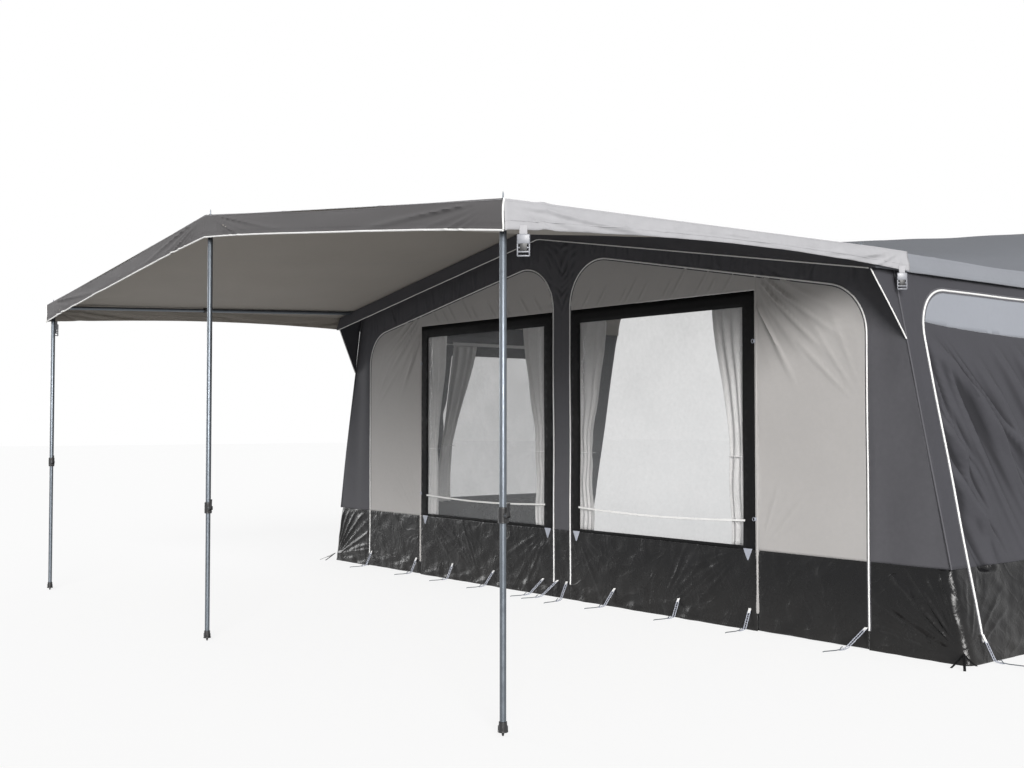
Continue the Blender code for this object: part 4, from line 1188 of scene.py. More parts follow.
class AWNING_OT_windows(bpy.types.Operator):
    """Hang the window sections, their frames, panes and skirts"""

    bl_idname = "awning.windows"
    bl_label = "Windows"

    def execute(self, context):
        """Build both window sections and the middle skirt."""
        s = sizes()
        left, right = s.column_half + s.gap, s.window_zip - s.gap
        foot, top, over = s.mud_height + s.gap, s.window_top + s.gap, 0.004
        low, high = s.mud_height + s.frame_foot, s.window_top - s.frame_head
        wall = (front_plane(), front_lift)
        skirt_wall = (front_plane(), skirt_lift)
        for word, side in sides:
            head, _ = head_line(right)
            header = [(left, top)] + inner_arc(s.gap) + [(right, head - s.gap), (right, top)]
            hang("window_header_cloth_" + word, "window_header_" + word, [mirrored(header, side)],
                 *wall, "panel_cloth", 0.011, (0.014, 0.004))
            outer = box_loop(left, foot, right, s.window_top, side)
            inner = box_loop(left + s.frame_side, low, right - s.frame_side, high, side)
            hang("window_frame_cloth_" + word, "window_frame_" + word, [outer, inner], *wall,
                 "window_cloth", strip=s.frame_side)
            pane = box_loop(left + s.frame_side - over, low - over, right - s.frame_side + over,
                            high + over, side)
            hang("window_foil_" + word, "window_pane_" + word, [pane], front_plane(),
                 lambda u, v: front_lift(u, v) - 0.0018, "window_foil", 0.05, held="stretched",
                 rests="window_frame_" + word)
            skirt = box_loop(left, ground_gap, right, s.mud_height + tuck, side)
            hang("window_skirt_" + word, "mud_wall_window_" + word, [skirt], *skirt_wall,
                 "skirt_coating", 0.012)
            self.strap(s, word, side)
        middle = box_loop(s.gap - s.column_half, ground_gap, s.column_half - s.gap, s.mud_height + tuck)
        hang("middle_skirt", "mud_wall_centre", [middle], *skirt_wall, "skirt_coating", 0.012)
        return {"FINISHED"}

    def strap(self, s, word, side):
        """The elastic strap across the pane and the tabs at its foot."""
        left = s.column_half + s.frame_side - 0.012
        right = s.window_zip - s.frame_side + 0.012
        x = np.linspace(left, right, 60)
        z = 0.618 - 0.018 * np.sin(math.pi * (x - left) / (right - left))
        path = along_wall(list(zip(side * x, z)), front_plane(), front_lift, 0.0032)
        band = Shape()
        band.sweep(path, strip_ring(0.006, 0.0018), (0, -1, 0))
        band.trim("window_strap_" + word, "piping_cloth", "curtains_front_" + word)
        tabs = Shape()
        level = 0.43
        outline = [(-0.032, 0.03), (0.032, 0.03), (0.03, 0.022), (0.006, -0.03), (0.002, -0.036),
                   (-0.002, -0.036), (-0.006, -0.03), (-0.03, 0.022)]
        for x in (left - 0.025, right + 0.02):
            at = Vector((side * x, wall_y - front_lift(side * x, level) - 0.0028, level))
            tabs.plate(outline, 0.0022, Matrix.Translation(at))
        tabs.trim("window_tabs_" + word, "fitting_plastic", "window_frame_" + word)


class AWNING_OT_doors(bpy.types.Operator):
    """Hang the door flaps with their skirts"""

    bl_idname = "awning.doors"
    bl_label = "Doors"

    def execute(self, context):
        """Build both doors; each rides on its own body."""
        s = sizes()
        start, end, foot = s.window_zip + s.gap, s.outer_zip - s.gap, s.mud_height + s.gap
        head, _ = head_line(start)
        flap = [(start, foot), (start, head - s.gap)] + outer_arc(s.gap) + [(end, foot)]
        for word, side in sides:
            hang("door_cloth_" + word, "door_panel_" + word, [mirrored(flap, side)], front_plane(),
                 front_lift, "panel_cloth", 0.014, (0.02, 0.005), "door_" + word)
            skirt = box_loop(start, 0.006, end, s.mud_height + tuck, side)
            hang("door_skirt_cloth_" + word, "door_skirt_" + word, [skirt], front_plane(),
                 skirt_lift, "skirt_coating", 0.012, body="door_" + word)
        return {"FINISHED"}


class AWNING_OT_sides(bpy.types.Operator):
    """Hang the side walls, their corner wings and skirts"""

    bl_idname = "awning.sides"
    bl_label = "Side walls"

    def execute(self, context):
        """Build both side walls."""
        s = sizes()
        rise, end, over = wall_rise(), side_end(), 0.004
        foot, head = (s.mud_height + s.gap) * rise, s.eave_height * rise - 0.004
        near, far = side_window
        low, high = window_foot * rise, (s.side_arch - 0.1) * rise
        for word, side in sides:
            surround, panel_node = "gable_surround_" + word, "gable_panel_" + word
            plane, lift = side_plane(side), partial(side_lift, side)
            outline = [side_arc() + [(end, foot), (end, head), (0.0015, head), (0.0015, foot)]]
            hang("side_surround_" + word, surround, outline, plane, lift, "side_cloth_painted_shade", 0.025,
                 rests="awning_roof", strip=0.2)
            panel = [side_arc(s.gap)]
            if side < 0:
                panel.append(box_loop(near, low, far, high))
                pane = box_loop(near - over, low - over, far + over, high + over)
                hang("side_foil_" + word, "gable_pane_" + word, [pane], plane,
                     lambda u, v: lift(u, v) - 0.002, "window_foil", 0.06, held="stretched",
                     rests=panel_node)
            else:
                upper, panel = self.divide(panel[0])
                hang("side_panel_light", panel_node, upper, plane, lift, "light_panel_cloth", 0.025,
                     rests=surround)
            hang("side_panel_" + word, panel_node, panel, plane, lift, "side_cloth_painted_shade", 0.011,
                 (0.03, 0.007), rests=surround)
            tip = 0.004 - s.overhang
            wing = [(-0.0015, head), (tip, head), (tip, (s.eave_height - s.band_drop) * rise),
                    (-0.0015, wing_foot * rise)]
            hang("corner_wing_" + word, "corner_gusset_" + word, [wing], plane, lift, "side_cloth_painted_shade",
                 0.02, rests="awning_roof")
            self.skirt(s, word, side)
        return {"FINISHED"}

    def divide(self, loop):
        """The panel above and below the curved seam between light and dark cloth."""
        level = 1.74
        start, end = loop[0][0], loop[-1][0]
        half = len(loop) // 2
        above = [p for p in loop if p[1] > level]
        seam = []
        for u in np.linspace(start + 0.004, end - 0.004, 60):
            share = (u - start) / (end - start)
            seam.append((float(u), level - 0.005 - 0.05 * math.sin(math.pi * share) ** 0.7))
        upper = above + [(u, v + 0.0004) for u, v in reversed(seam)]
        lower = [p for p in loop[:half] if p[1] <= level] + [(u, v - 0.0004) for u, v in seam]
        return [upper], [lower + [p for p in loop[half:] if p[1] <= level]]

    def skirt(self, s, word, side):
        """The skirt from the front's outer zip round the corner to the rear."""
        rows, front_cols, side_cols = 64, 90, 320
        end = side_end()
        plane, tilt = side_plane(side), wall_tilt()
        z = np.linspace(ground_gap, s.mud_height + tuck, rows)[:, None]
        share = np.linspace(0, 1, front_cols)[None, :]
        x = s.outer_zip + s.gap + (wall_x(z) - 0.02 - s.outer_zip) * share
        out = skirt_lift(side * x, z + 0 * x)
        front = np.stack(np.broadcast_arrays(side * x, wall_y - out, z), -1)
        u = np.linspace(0.02, end, side_cols)[None, :]
        v = z / math.cos(tilt)
        top = s.mud_height / math.cos(tilt)
        out = side_lift(side, u + 0 * v, np.minimum(v, top - 0.0001) + 0 * u)
        out = out - 0.002 * ease(top - 0.006, top, v)
        back = plane[0] + u[..., None] * plane[1] + v[..., None] * plane[2] + out[..., None] * plane[3]
        points = np.concatenate((front, back), 1)
        low, high = front_cols - 7, front_cols + 5
        for _ in range(8):
            outer = 0.25 * points[:, low - 1:high - 1] + 0.5 * points[:, low:high]
            points[:, low:high] = outer + 0.25 * points[:, low + 1:high + 1]
        if side < 0:
            points = points[:, ::-1]
        item = grid("side_skirt_" + word, points, [look("skirt_coating")])
        dress(item, "awning", ["mud_wall_side_" + word])


class AWNING_OT_curtains(bpy.types.Operator):
    """Gather the curtains behind the panes"""

    bl_idname = "awning.curtains"
    bl_label = "Curtains"

    def execute(self, context):
        """Build three pairs of curtains."""
        s = sizes()
        left, right = s.column_half + s.frame_side - 0.02, s.window_zip - s.frame_side + 0.02
        for word, side in sides:
            across = (left, right) if side > 0 else (-right, -left)
            self.pair("front_" + word, front_plane(), across, 0.034, 1.0, 0.0, "window_header_" + word)
        self.pair("side_left", side_plane(-1), side_window, 0.026, wall_rise(), 0.05, "gable_panel_left")
        return {"FINISHED"}

    def pair(self, word, plane, across, depth, rise, flare, carrier):
        """Two gathered curtains under one heading tape, clear of the dips of the cloth in front."""
        foot, tie, head = curtain_heights
        plane = np.vstack((plane[0] - 0.003 * plane[3], plane[1:]))
        z = np.linspace(head - 0.03, foot, 70)[:, None]
        t = np.linspace(0, 1, 97)[None, :]
        up = ease(tie, head, z)
        down = np.clip((tie - z) / (tie - foot), 0, 1)
        width = 0.12 + 0.14 * up + flare * down
        pinch = np.exp(-(((z - tie) / 0.05) ** 2))
        out = np.dot(np.cross(plane[1], plane[2]), plane[3]) > 0
        for number, (start, turn) in enumerate(((across[0], 1), (across[1], -1))):
            seed = 200 + number + len(word)
            sway = 0.25 * noise(t * 1.2 + z * 0.05, z, 0.9, seed, 5)
            sway = sway * ease(0, 0.1, t) * (1 - ease(0.9, 1, t))
            wave = 0.5 - 0.5 * np.cos(2 * math.pi * (3 * t + sway))
            deep = depth * (0.9 + 0.1 * up + 0.08 * down) * (0.84 + 0.16 * noise(t, z, 0.7, seed + 3))
            back = 0.006 + deep * wave * (1 - 0.35 * pinch) * ease(0.0, 0.08, head - z)
            skew = turn * width * (t + 0.012 * np.sin(2 * math.pi * 3 * t))
            u = start + skew + turn * 0.012 * (1 - up) * noise(z, z, 0.5, seed + 7, 3)
            points = (plane[0] + u[..., None] * plane[1] + (z * rise)[..., None] * plane[2]
                      - back[..., None] * plane[3])
            if (turn > 0) == out:
                points = points[:, ::-1]
            item = grid("curtain_%s_%d" % (word, number + 1), points, [look("curtain_satin")])
            dress(item, "awning", ["curtains_" + word])
        self.tapes(word, plane, across, rise)

    def tapes(self, word, plane, across, rise):
        """The heading tape and the ties round the curtains."""
        _, tie, head = curtain_heights
        tape = Shape()
        u = np.linspace(across[0] - 0.01, across[1] + 0.01, 40)
        line = plane[0] + np.outer(u, plane[1]) + (head - 0.014) * rise * plane[2] - 0.0045 * plane[3]
        tape.sweep(line, strip_ring(0.014, 0.0016), plane[3])
        for start, turn in ((across[0], 1), (across[1], -1)):
            mid = start + turn * 0.066
            loop = [plane[0] + (mid + 0.07 * math.cos(a)) * plane[1] + tie * rise * plane[2]
                    - (0.018 + 0.013 * math.sin(a)) * plane[3] for a in np.linspace(0, 2 * math.pi, 33)[:-1]]
            tape.sweep(loop, strip_ring(0.008, 0.0014), plane[2], closed=True)
        tape.trim("curtain_tape_" + word, "curtain_satin", "curtains_" + word)


def middle_of(name):
    """Middle of a solid."""
    return [(low + high) / 2 for low, high in zip(*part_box(name))]


class AWNING_OT_legs(bpy.types.Operator):
    """Stand the canopy's legs with their clamps, levers and feet"""

    bl_idname = "awning.legs"
    bl_label = "Canopy legs"

    def execute(self, context):
        """Build three telescopic legs."""
        outer, inner = 0.014, 0.0125
        steel, black = look("zinc"), look("black_plastic")
        for word in leg_names:
            x, y, _ = middle_of("canopy_leg_lower_" + word)
            joint = middle_of("canopy_clamp_" + word)[2]
            place = Matrix.Translation((x, y, 0))
            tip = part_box("canopy_leg_upper_" + word)[1].z
            top = tip - 0.033 - (0.052 if word == "middle" else 0.043)
            upper = Shape()
            upper.lathe([(0, tip), (0.0011, tip - 0.003), (0.0026, tip - 0.009), (0.003, tip - 0.03),
                         (0.003, top + 0.004), (0.006, top + 0.002), (0.0125, top), (outer, top - 0.002),
                         (outer, joint + 0.001), (outer - 0.0012, joint), (outer - 0.0012, top - 0.012),
                         (0, top - 0.012)], place, turns=32)
            dress(upper.make("leg_upper_" + word, [steel]), "awning", ["canopy_leg_upper_" + word])
            lower = Shape()
            head = joint + 0.42
            lower.lathe([(inner - 0.0012, head), (inner, head), (inner, 0.05), (inner - 0.0012, 0.05)],
                        place, turns=32, closed=True)
            self.foot(lower, place)
            dress(lower.make("leg_lower_" + word, [steel, black]), "canopy_leg_foot_" + word,
                  ["canopy_leg_lower_" + word])
            self.clamp(word, Matrix.Translation((x, y, joint)), black, steel)
        return {"FINISHED"}

    def foot(self, shape, place):
        """Black foot with ribs under a round flange and a blunt pin."""
        shape.lathe([(0.0112, 0.056), (0.0155, 0.054), (0.0160, 0.046), (0.0160, 0.024), (0.0195, 0.021),
                     (0.0200, 0.0185), (0.0195, 0.0155), (0.0060, 0.0145), (0.0050, 0.008), (0.0032, 0.001),
                     (0, 0.0002), (0, 0.044), (0.0112, 0.044)], place, 1, 32)
        for turn in range(4):
            rib = Matrix.Rotation(math.pi / 2 * turn + math.pi / 4, 4, "Z")
            shape.block((0.0150, -0.0014, 0.020), (0.0192, 0.0014, 0.040), place @ rib, 1, 0.0006)

    def clamp(self, word, place, black, steel):
        """Collar with ribs, ears and pin, and the cam lever on its own body."""
        collar = Shape()
        profile = [(0.0143, 0.030), (0.0185, 0.030), (0.0198, 0.0285)]
        for k in range(6):
            z = 0.024 - 0.0085 * k
            profile += [(0.0200, z + 0.002), (0.0200, z - 0.002),
                        (0.0192, z - 0.0026), (0.0192, z - 0.0058)]
        profile += [(0.0198, -0.0285), (0.0185, -0.030), (0.0143, -0.030)]
        collar.lathe(profile, place, 0, 40, closed=True)
        for sign in (-1, 1):
            low, high = sorted((sign * 0.0073, sign * 0.0113))
            collar.block((0.0165, low, -0.0105), (0.0355, high, 0.0105), place, 0, 0.0022, 3)
        collar.block((0.0172, -0.0112, -0.026), (0.0240, 0.0112, -0.0125), place, 0, 0.0018, 2)
        grip = place @ Matrix.Translation((0.028, 0, 0))
        pin = grip @ Matrix.Rotation(math.pi / 2, 4, "X")
        collar.lathe([(0, 0.0118), (0.0019, 0.0114), (0.0019, -0.0114), (0, -0.0118)], pin, 1, 16)
        for sign in (-1, 1):
            head = pin @ Matrix.Translation((0, 0, sign * 0.0122))
            collar.lathe([(0, 0.0009), (0.0032, 0.0006), (0.0036, -0.0004), (0, -0.0009)], head, 1, 16)
        dress(collar.make("leg_clamp_" + word, [black, steel]), "awning", ["canopy_clamp_" + word])
        lever = Shape()
        lever.lathe([(0.0023, 0.0070), (0.0050, 0.0070), (0.0056, 0.0062), (0.0056, -0.0062),
                     (0.0050, -0.0070), (0.0023, -0.0070)], pin, 0, 24, closed=True)
        path = [(0.0026, 0.002), (0.0028, 0.014), (0.0034, 0.026), (0.0046, 0.038), (0.0062, 0.0465)]
        lever.sweep([grip @ Vector((x, 0, z)) for x, z in path], rounded_ring(0.0069, 0.0024), (1, 0, 0))
        for k in range(4):
            at = grip @ Matrix.Translation((0.0064 + 0.0004 * k, 0, 0.022 + 0.0058 * k))
            lever.block((-0.0008, -0.0056, -0.0009), (0.0012, 0.0056, 0.0009), at, 0, 0.0005, 1)
        dress(lever.make("leg_lever_" + word, [black]), "clamp_lever_" + word, ["canopy_lever_" + word])


def rounded_ring(half, thick, corner=0.0012):
    """A rounded rectangle's ring of offsets."""
    ring = []
    for sx, sy, start in ((1, 1, 0), (-1, 1, 90), (-1, -1, 180), (1, -1, 270)):
        for k in range(4):
            t = math.radians(start + 30 * k)
            ring.append((sx * (half - corner) + corner * math.cos(t),
                         sy * (thick - corner) + corner * math.sin(t)))
    return ring


class AWNING_OT_poles(bpy.types.Operator):
    """Finish the roof poles, rails and inner legs, and their clamps"""

    bl_idname = "awning.poles"
    bl_label = "Poles and rails"

    def execute(self, context):
        """Give the poles their zinc and the side poles their black clamps."""
        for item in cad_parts.values():
            if not item.hide_render:
                for slot in item.material_slots:
                    slot.material = look("zinc")
        for word, _ in sides:
            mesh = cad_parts["canopy_side_pole_outer_" + word].data
            pole = np.array([v.co[:] for v in mesh.vertices])
            first = self.middle_at(pole, pole[:, 1].min() + 0.0125, 0.03)
            last = self.middle_at(pole, pole[:, 1].max() - 0.32, 0.12)
            along = (last - first) / np.linalg.norm(last - first)
            middle = first + along * 0.0125
            points = []
            for d, radius in ((-0.0275, 0.0166), (-0.026, 0.0178), (0.026, 0.0178), (0.0275, 0.0166)):
                ring, at = Shape(), middle + along * d
                ring.sweep([at - along * 1e-4, at + along * 1e-4], ring_of(radius, radius, 20), (0, 0, 1))
                points += ring.points[:20]
            faces = [(k * 20 + n, k * 20 + (n + 1) % 20, (k + 1) * 20 + (n + 1) % 20, (k + 1) * 20 + n)
                     for k in range(3) for n in range(20)]
            grip = Shape()
            grip.add(points, faces + [tuple(range(20))[::-1], tuple(range(60, 80))])
            grip.trim("pole_clamp_" + word, "black_plastic", "canopy_clamp_" + word)
        return {"FINISHED"}

    def middle_at(self, points, y, reach):
        """Middle of the points within reach of a distance from the front."""
        near = points[np.abs(points[:, 1] - y) < reach]
        return np.array([(near[:, k].min() + near[:, k].max()) / 2 for k in range(3)])


class AWNING_OT_zips(bpy.types.Operator):
    """Run the zips, their covers and the piping of the corner wings"""

    bl_idname = "awning.zips"
    bl_label = "Zips and piping"

    def execute(self, context):
        """Build the zips of the front and side walls."""
        s = sizes()
        plane = front_plane()
        white, tape, grey = Shape(), Shape(), Shape()
        for _, side in sides:
            arch = [(s.column_half, zip_foot)] + inner_arc() + outer_arc() + [(s.outer_zip, zip_foot)]
            head, _ = head_line(s.window_zip)
            covered = [(s.window_zip, zip_foot), (s.window_zip, head)]
            for line, radius, coil, edge in ((arch, s.zip_radius, white, tape),
                                             (covered, 0.6 * s.zip_radius, grey, grey)):
                line = mirrored(line, side)
                coil.tube(along_wall(line, plane, front_lift, 0.0012), radius, (0, -1, 0))
                edge.sweep(along_wall(line, plane, front_lift, 0.0004), strip_ring(0.012, 0.0018), (0, -1, 0))
        for _, side in sides:
            plane, lift = side_plane(side), partial(side_lift, side)
            arch = [(s.side_zip, zip_foot)] + side_arc()[1:-1] + [(side_end() - s.side_zip, zip_foot)]
            white.tube(along_wall(arch, plane, lift, 0.0012), s.zip_radius * 1.2, plane[3])
            tape.sweep(along_wall(arch, plane, lift, 0.0004), strip_ring(0.016, 0.0018), plane[3])
            height = np.linspace(s.mud_height, s.eave_height - 0.01, 60)
            out = front_lift(side * (wall_x(height) - 0.002), height)
            corner = np.stack((side * (wall_x(height) + 0.0005), wall_y - 0.5 * out, height), -1)
            tape.tube(corner, 0.0046, (0, -1, 0), turns=10)
            wing = [(0.004 - s.overhang, (s.eave_height - s.band_drop) * wall_rise()),
                    (-0.003, wing_foot * wall_rise())]
            white.tube(along_wall(wing, plane, lift, 0.0), 0.0036, plane[3])
        white.trim("zip_coils", "piping_cloth", "curtains_side_left")
        tape.trim("zip_tapes", "surround_cloth", "front_surround")
        grey.trim("window_zips", "panel_cloth", "window_header_left")
        return {"FINISHED"}


def repeater_group():
    """Geometry nodes that set small rods along lines, along or across them."""
    tree = bpy.data.node_groups.new("repeat along lines", "GeometryNodeTree")
    face = tree.interface
    face.new_socket("Lines", in_out="INPUT", socket_type="NodeSocketGeometry")
    for label, value in (("Pitch", 0.008), ("Length", 0.0045), ("Radius", 0.0004)):
        socket = face.new_socket(label, in_out="INPUT", socket_type="NodeSocketFloat")
        socket.default_value = value
    face.new_socket("Sides", in_out="INPUT", socket_type="NodeSocketInt").default_value = 5
    face.new_socket("Across", in_out="INPUT", socket_type="NodeSocketBool")
    face.new_socket("Material", in_out="INPUT", socket_type="NodeSocketMaterial")
    face.new_socket("Mesh", in_out="OUTPUT", socket_type="NodeSocketGeometry")
    given, result = tree.nodes.new("NodeGroupInput"), tree.nodes.new("NodeGroupOutput")
    curve = add_node(tree, "GeometryNodeMeshToCurve", [(0, given.outputs["Lines"])])
    upright = add_node(tree, "GeometryNodeSetCurveNormal", [("Curve", curve.outputs[0])], mode="Z_UP")
    spots = add_node(tree, "GeometryNodeCurveToPoints", [("Curve", upright.outputs[0]),
                                                         ("Length", given.outputs["Pitch"])], mode="LENGTH")
    rod = add_node(tree, "GeometryNodeMeshCylinder", [("Vertices", given.outputs["Sides"]),
                                                      ("Radius", given.outputs["Radius"]),
                                                      ("Depth", given.outputs["Length"])])
    choose = tree.nodes.new("GeometryNodeSwitch")
    choose.input_type = "VECTOR"
    tree.links.new(given.outputs["Across"], choose.inputs["Switch"])
    tree.links.new(spots.outputs["Tangent"], choose.inputs["False"])
    tree.links.new(spots.outputs["Normal"], choose.inputs["True"])
    turn = add_node(tree, "FunctionNodeAlignRotationToVector", [("Vector", choose.outputs[0])], axis="Z")
    placed = add_node(tree, "GeometryNodeInstanceOnPoints", [("Points", spots.outputs["Points"]),
                                                             ("Instance", rod.outputs["Mesh"]),
                                                             ("Rotation", turn.outputs[0])])
    real = add_node(tree, "GeometryNodeRealizeInstances", [(0, placed.outputs[0])])
    painted = add_node(tree, "GeometryNodeSetMaterial", [("Geometry", real.outputs[0]),
                                                         ("Material", given.outputs["Material"])])
    tree.links.new(painted.outputs[0], result.inputs[0])
    return tree


def repeat(name, lines, material, pitch=0.008, rod=0.0045, radius=0.0005, turns=5, across=False,
           body="awning"):
    """Small rods along lines, as one plain mesh that trims a body."""
    tree = bpy.data.node_groups.get("repeat along lines") or repeater_group()
    points, edges = [], []
    for line in lines:
        start = len(points)
        points += [tuple(map(float, p)) for p in line]
        edges += [(k, k + 1) for k in range(start, len(points) - 1)]
    paths = bpy.data.meshes.new(name + "_lines")
    paths.from_pydata(points, edges, [])
    item = link(name, paths)
    nodes = item.modifiers.new("repeat", "NODES")
    nodes.node_group = tree
    values = {"Pitch": pitch, "Length": rod, "Radius": radius, "Sides": turns, "Across": across,
              "Material": look(material)}
    for socket in tree.interface.items_tree:
        if socket.name in values and socket.in_out == "INPUT":
            nodes[socket.identifier] = values[socket.name]
    bpy.context.view_layer.update()
    seen = item.evaluated_get(bpy.context.evaluated_depsgraph_get())
    mesh = bpy.data.meshes.new_from_object(seen)
    item.modifiers.clear()
    item.data = mesh
    mesh.name = name
    smooth(mesh, 50)
    trim(item, body)


def column_at(points, x, lift):
    """A front-to-rear line on a grid at a given x."""
    line = []
    for row in points:
        along, y, z = row[np.argsort(row[:, 0], kind="stable")].T
        line.append((x, float(np.interp(x, along, y)), float(np.interp(x, along, z)) + lift))
    return np.array(line)


class AWNING_OT_stitches(bpy.types.Operator):
    """Sew the hems and seams"""

    bl_idname = "awning.stitches"
    bl_label = "Stitches"

    def execute(self, context):
        """Set the seams and every row of stitches."""
        self.canopy()
        self.roof()
        self.front()
        self.side_walls()
        return {"FINISHED"}

    def seams(self, top):
        """The seams that run from front to rear on a roof, and their rows of stitches."""
        seams, rows = Shape(), []
        for x in seam_places:
            line = column_at(top, x, 0.001)
            seams.sweep(line, strip_ring(0.008, 0.0018), (0, 0, 1))
            rows += [line + np.array((shift, 0, 0.0009)) for shift in (-0.006, 0.006)]
        return seams, rows

    def edge_rows(self, points, columns):
        """Rows of stitches on both sides of a roof; columns count from its edge."""
        return [points[:, column if side < 0 else -1 - column] + np.array((side * 0.0011, 0, 0))
                for side in (-1, 1) for column in columns]

    def canopy(self):
        """Seams and stitches of the canopy and its valance."""
        points = grids["canopy_sheet"]
        top = points[:, hem_steps:-hem_steps]
        seams, rows = self.seams(top)
        rows += self.edge_rows(points, (1, 5, 15))
        for side, column in ((-1, 5), (1, -6)):
            hem = points[2:-2, column] + np.array((side * 0.0012, 0, 0))
            seams.sweep(hem, strip_ring(0.0025, 0.0022), (side, 0, 0))
        rows.append(top[1] + np.array((0, 0, 0.0012)))
        seams.trim("canopy_seams", "canopy_cloth", "canopy_roof")
        repeat("canopy_stitches", rows, "canopy_cloth")
        front = grids["canopy_front_valance_cloth"]
        middle = front.shape[1] // 2
        rows = [front[2], front[3], front[-2], front[:, middle - 1], front[:, middle + 1]]
        rows = [row + np.array((0, -0.0011, 0)) for row in rows]
        repeat("valance_stitches", rows, "valance_cloth")

    def roof(self):
        """Seams and stitches of the room's roof."""
        points = grids["roof_sheet"][band_steps:]
        seams, rows = self.seams(points[:, band_steps:-band_steps])
        seams.trim("roof_seams", "roof_cloth", "awning_roof")
        repeat("roof_stitches", rows, "roof_cloth")
        repeat("band_stitches", self.edge_rows(points, (1, 2, 6)), "band_cloth")
        band = grids["roof_sheet"][:, band_steps:-band_steps]
        rows = [band[k] + np.array((0, -0.0011, 0)) for k in (1, 2, 6)]
        repeat("front_band_stitches", rows, "surround_cloth")

    def front(self):
        """Stitches of the surround, the windows, the skirts and the doors."""
        s, plane = sizes(), front_plane()

        def row(line, side=1):
            return along_wall(mirrored(line, side), plane, front_lift, 0.001)

        def level(start, end, z, side):
            return row([(start, z), (end, z)], side)

        dark, skirt, header, frames = [], [], [], []
        left, right, low = s.column_half, s.window_zip, s.mud_height + 0.01
        for word, side in sides:
            edge = [(wall_x(z) - 0.014, z) for z in (stitch_foot, 1.0, 1.5, 2.02)]
            dark += [row([(left - 0.014, stitch_foot)] + inner_arc(-0.014)[1:], side),
                     row(outer_arc(-0.014)[:-1] + [(s.outer_zip + 0.014, stitch_foot)], side),
                     row(edge, side)]
            skirt += [level(left + 0.01, right - 0.01, s.mud_height - 0.01, side),
                      level(s.outer_zip + 0.01, 2.85, s.mud_height - 0.01, side),
                      level(left + 0.01, right - 0.01, 0.03, side)]
            header.append(level(left + 0.02, right - 0.01, s.window_top + 0.01, side))
            for inset in (0.008, s.frame_side - 0.008):
                top = s.window_top - inset * s.frame_head / s.frame_side
                frames.append(row([(left + inset, low), (left + inset, top), (right - inset, top),
                                   (right - inset, low)], side))
            rows = [row([(right + 0.014, stitch_foot), (right + 0.014, 1.98)], side),
                    row(outer_arc(0.014)[:-1] + [(s.outer_zip - 0.014, stitch_foot)], side),
                    level(right + 0.01, s.outer_zip - 0.01, low, side)]
            repeat("door_stitches_" + word, rows, "panel_cloth", body="door_" + word)
        dark.append(row([(0, stitch_foot), (0, 2.42)]))
        repeat("surround_stitches", dark, "surround_cloth")
        repeat("skirt_stitches", skirt, "window_cloth")
        repeat("header_stitches", header, "panel_cloth")
        repeat("frame_stitches", frames, "window_cloth")

    def side_walls(self):
        """Stitches of the side walls."""
        rise, rows = wall_rise(), []
        level = (sizes().mud_height + 0.012) * rise
        for _, side in sides:
            lines = (side_arc(-0.018), side_arc(0.018), [(0.014, 0.48 * rise), (0.014, 2.0 * rise)],
                     [(0.02, level), (2.9, level)])
            rows += [along_wall(line, side_plane(side), partial(side_lift, side), 0.001) for line in lines]
        repeat("side_stitches", rows, "side_cloth_painted_shade")


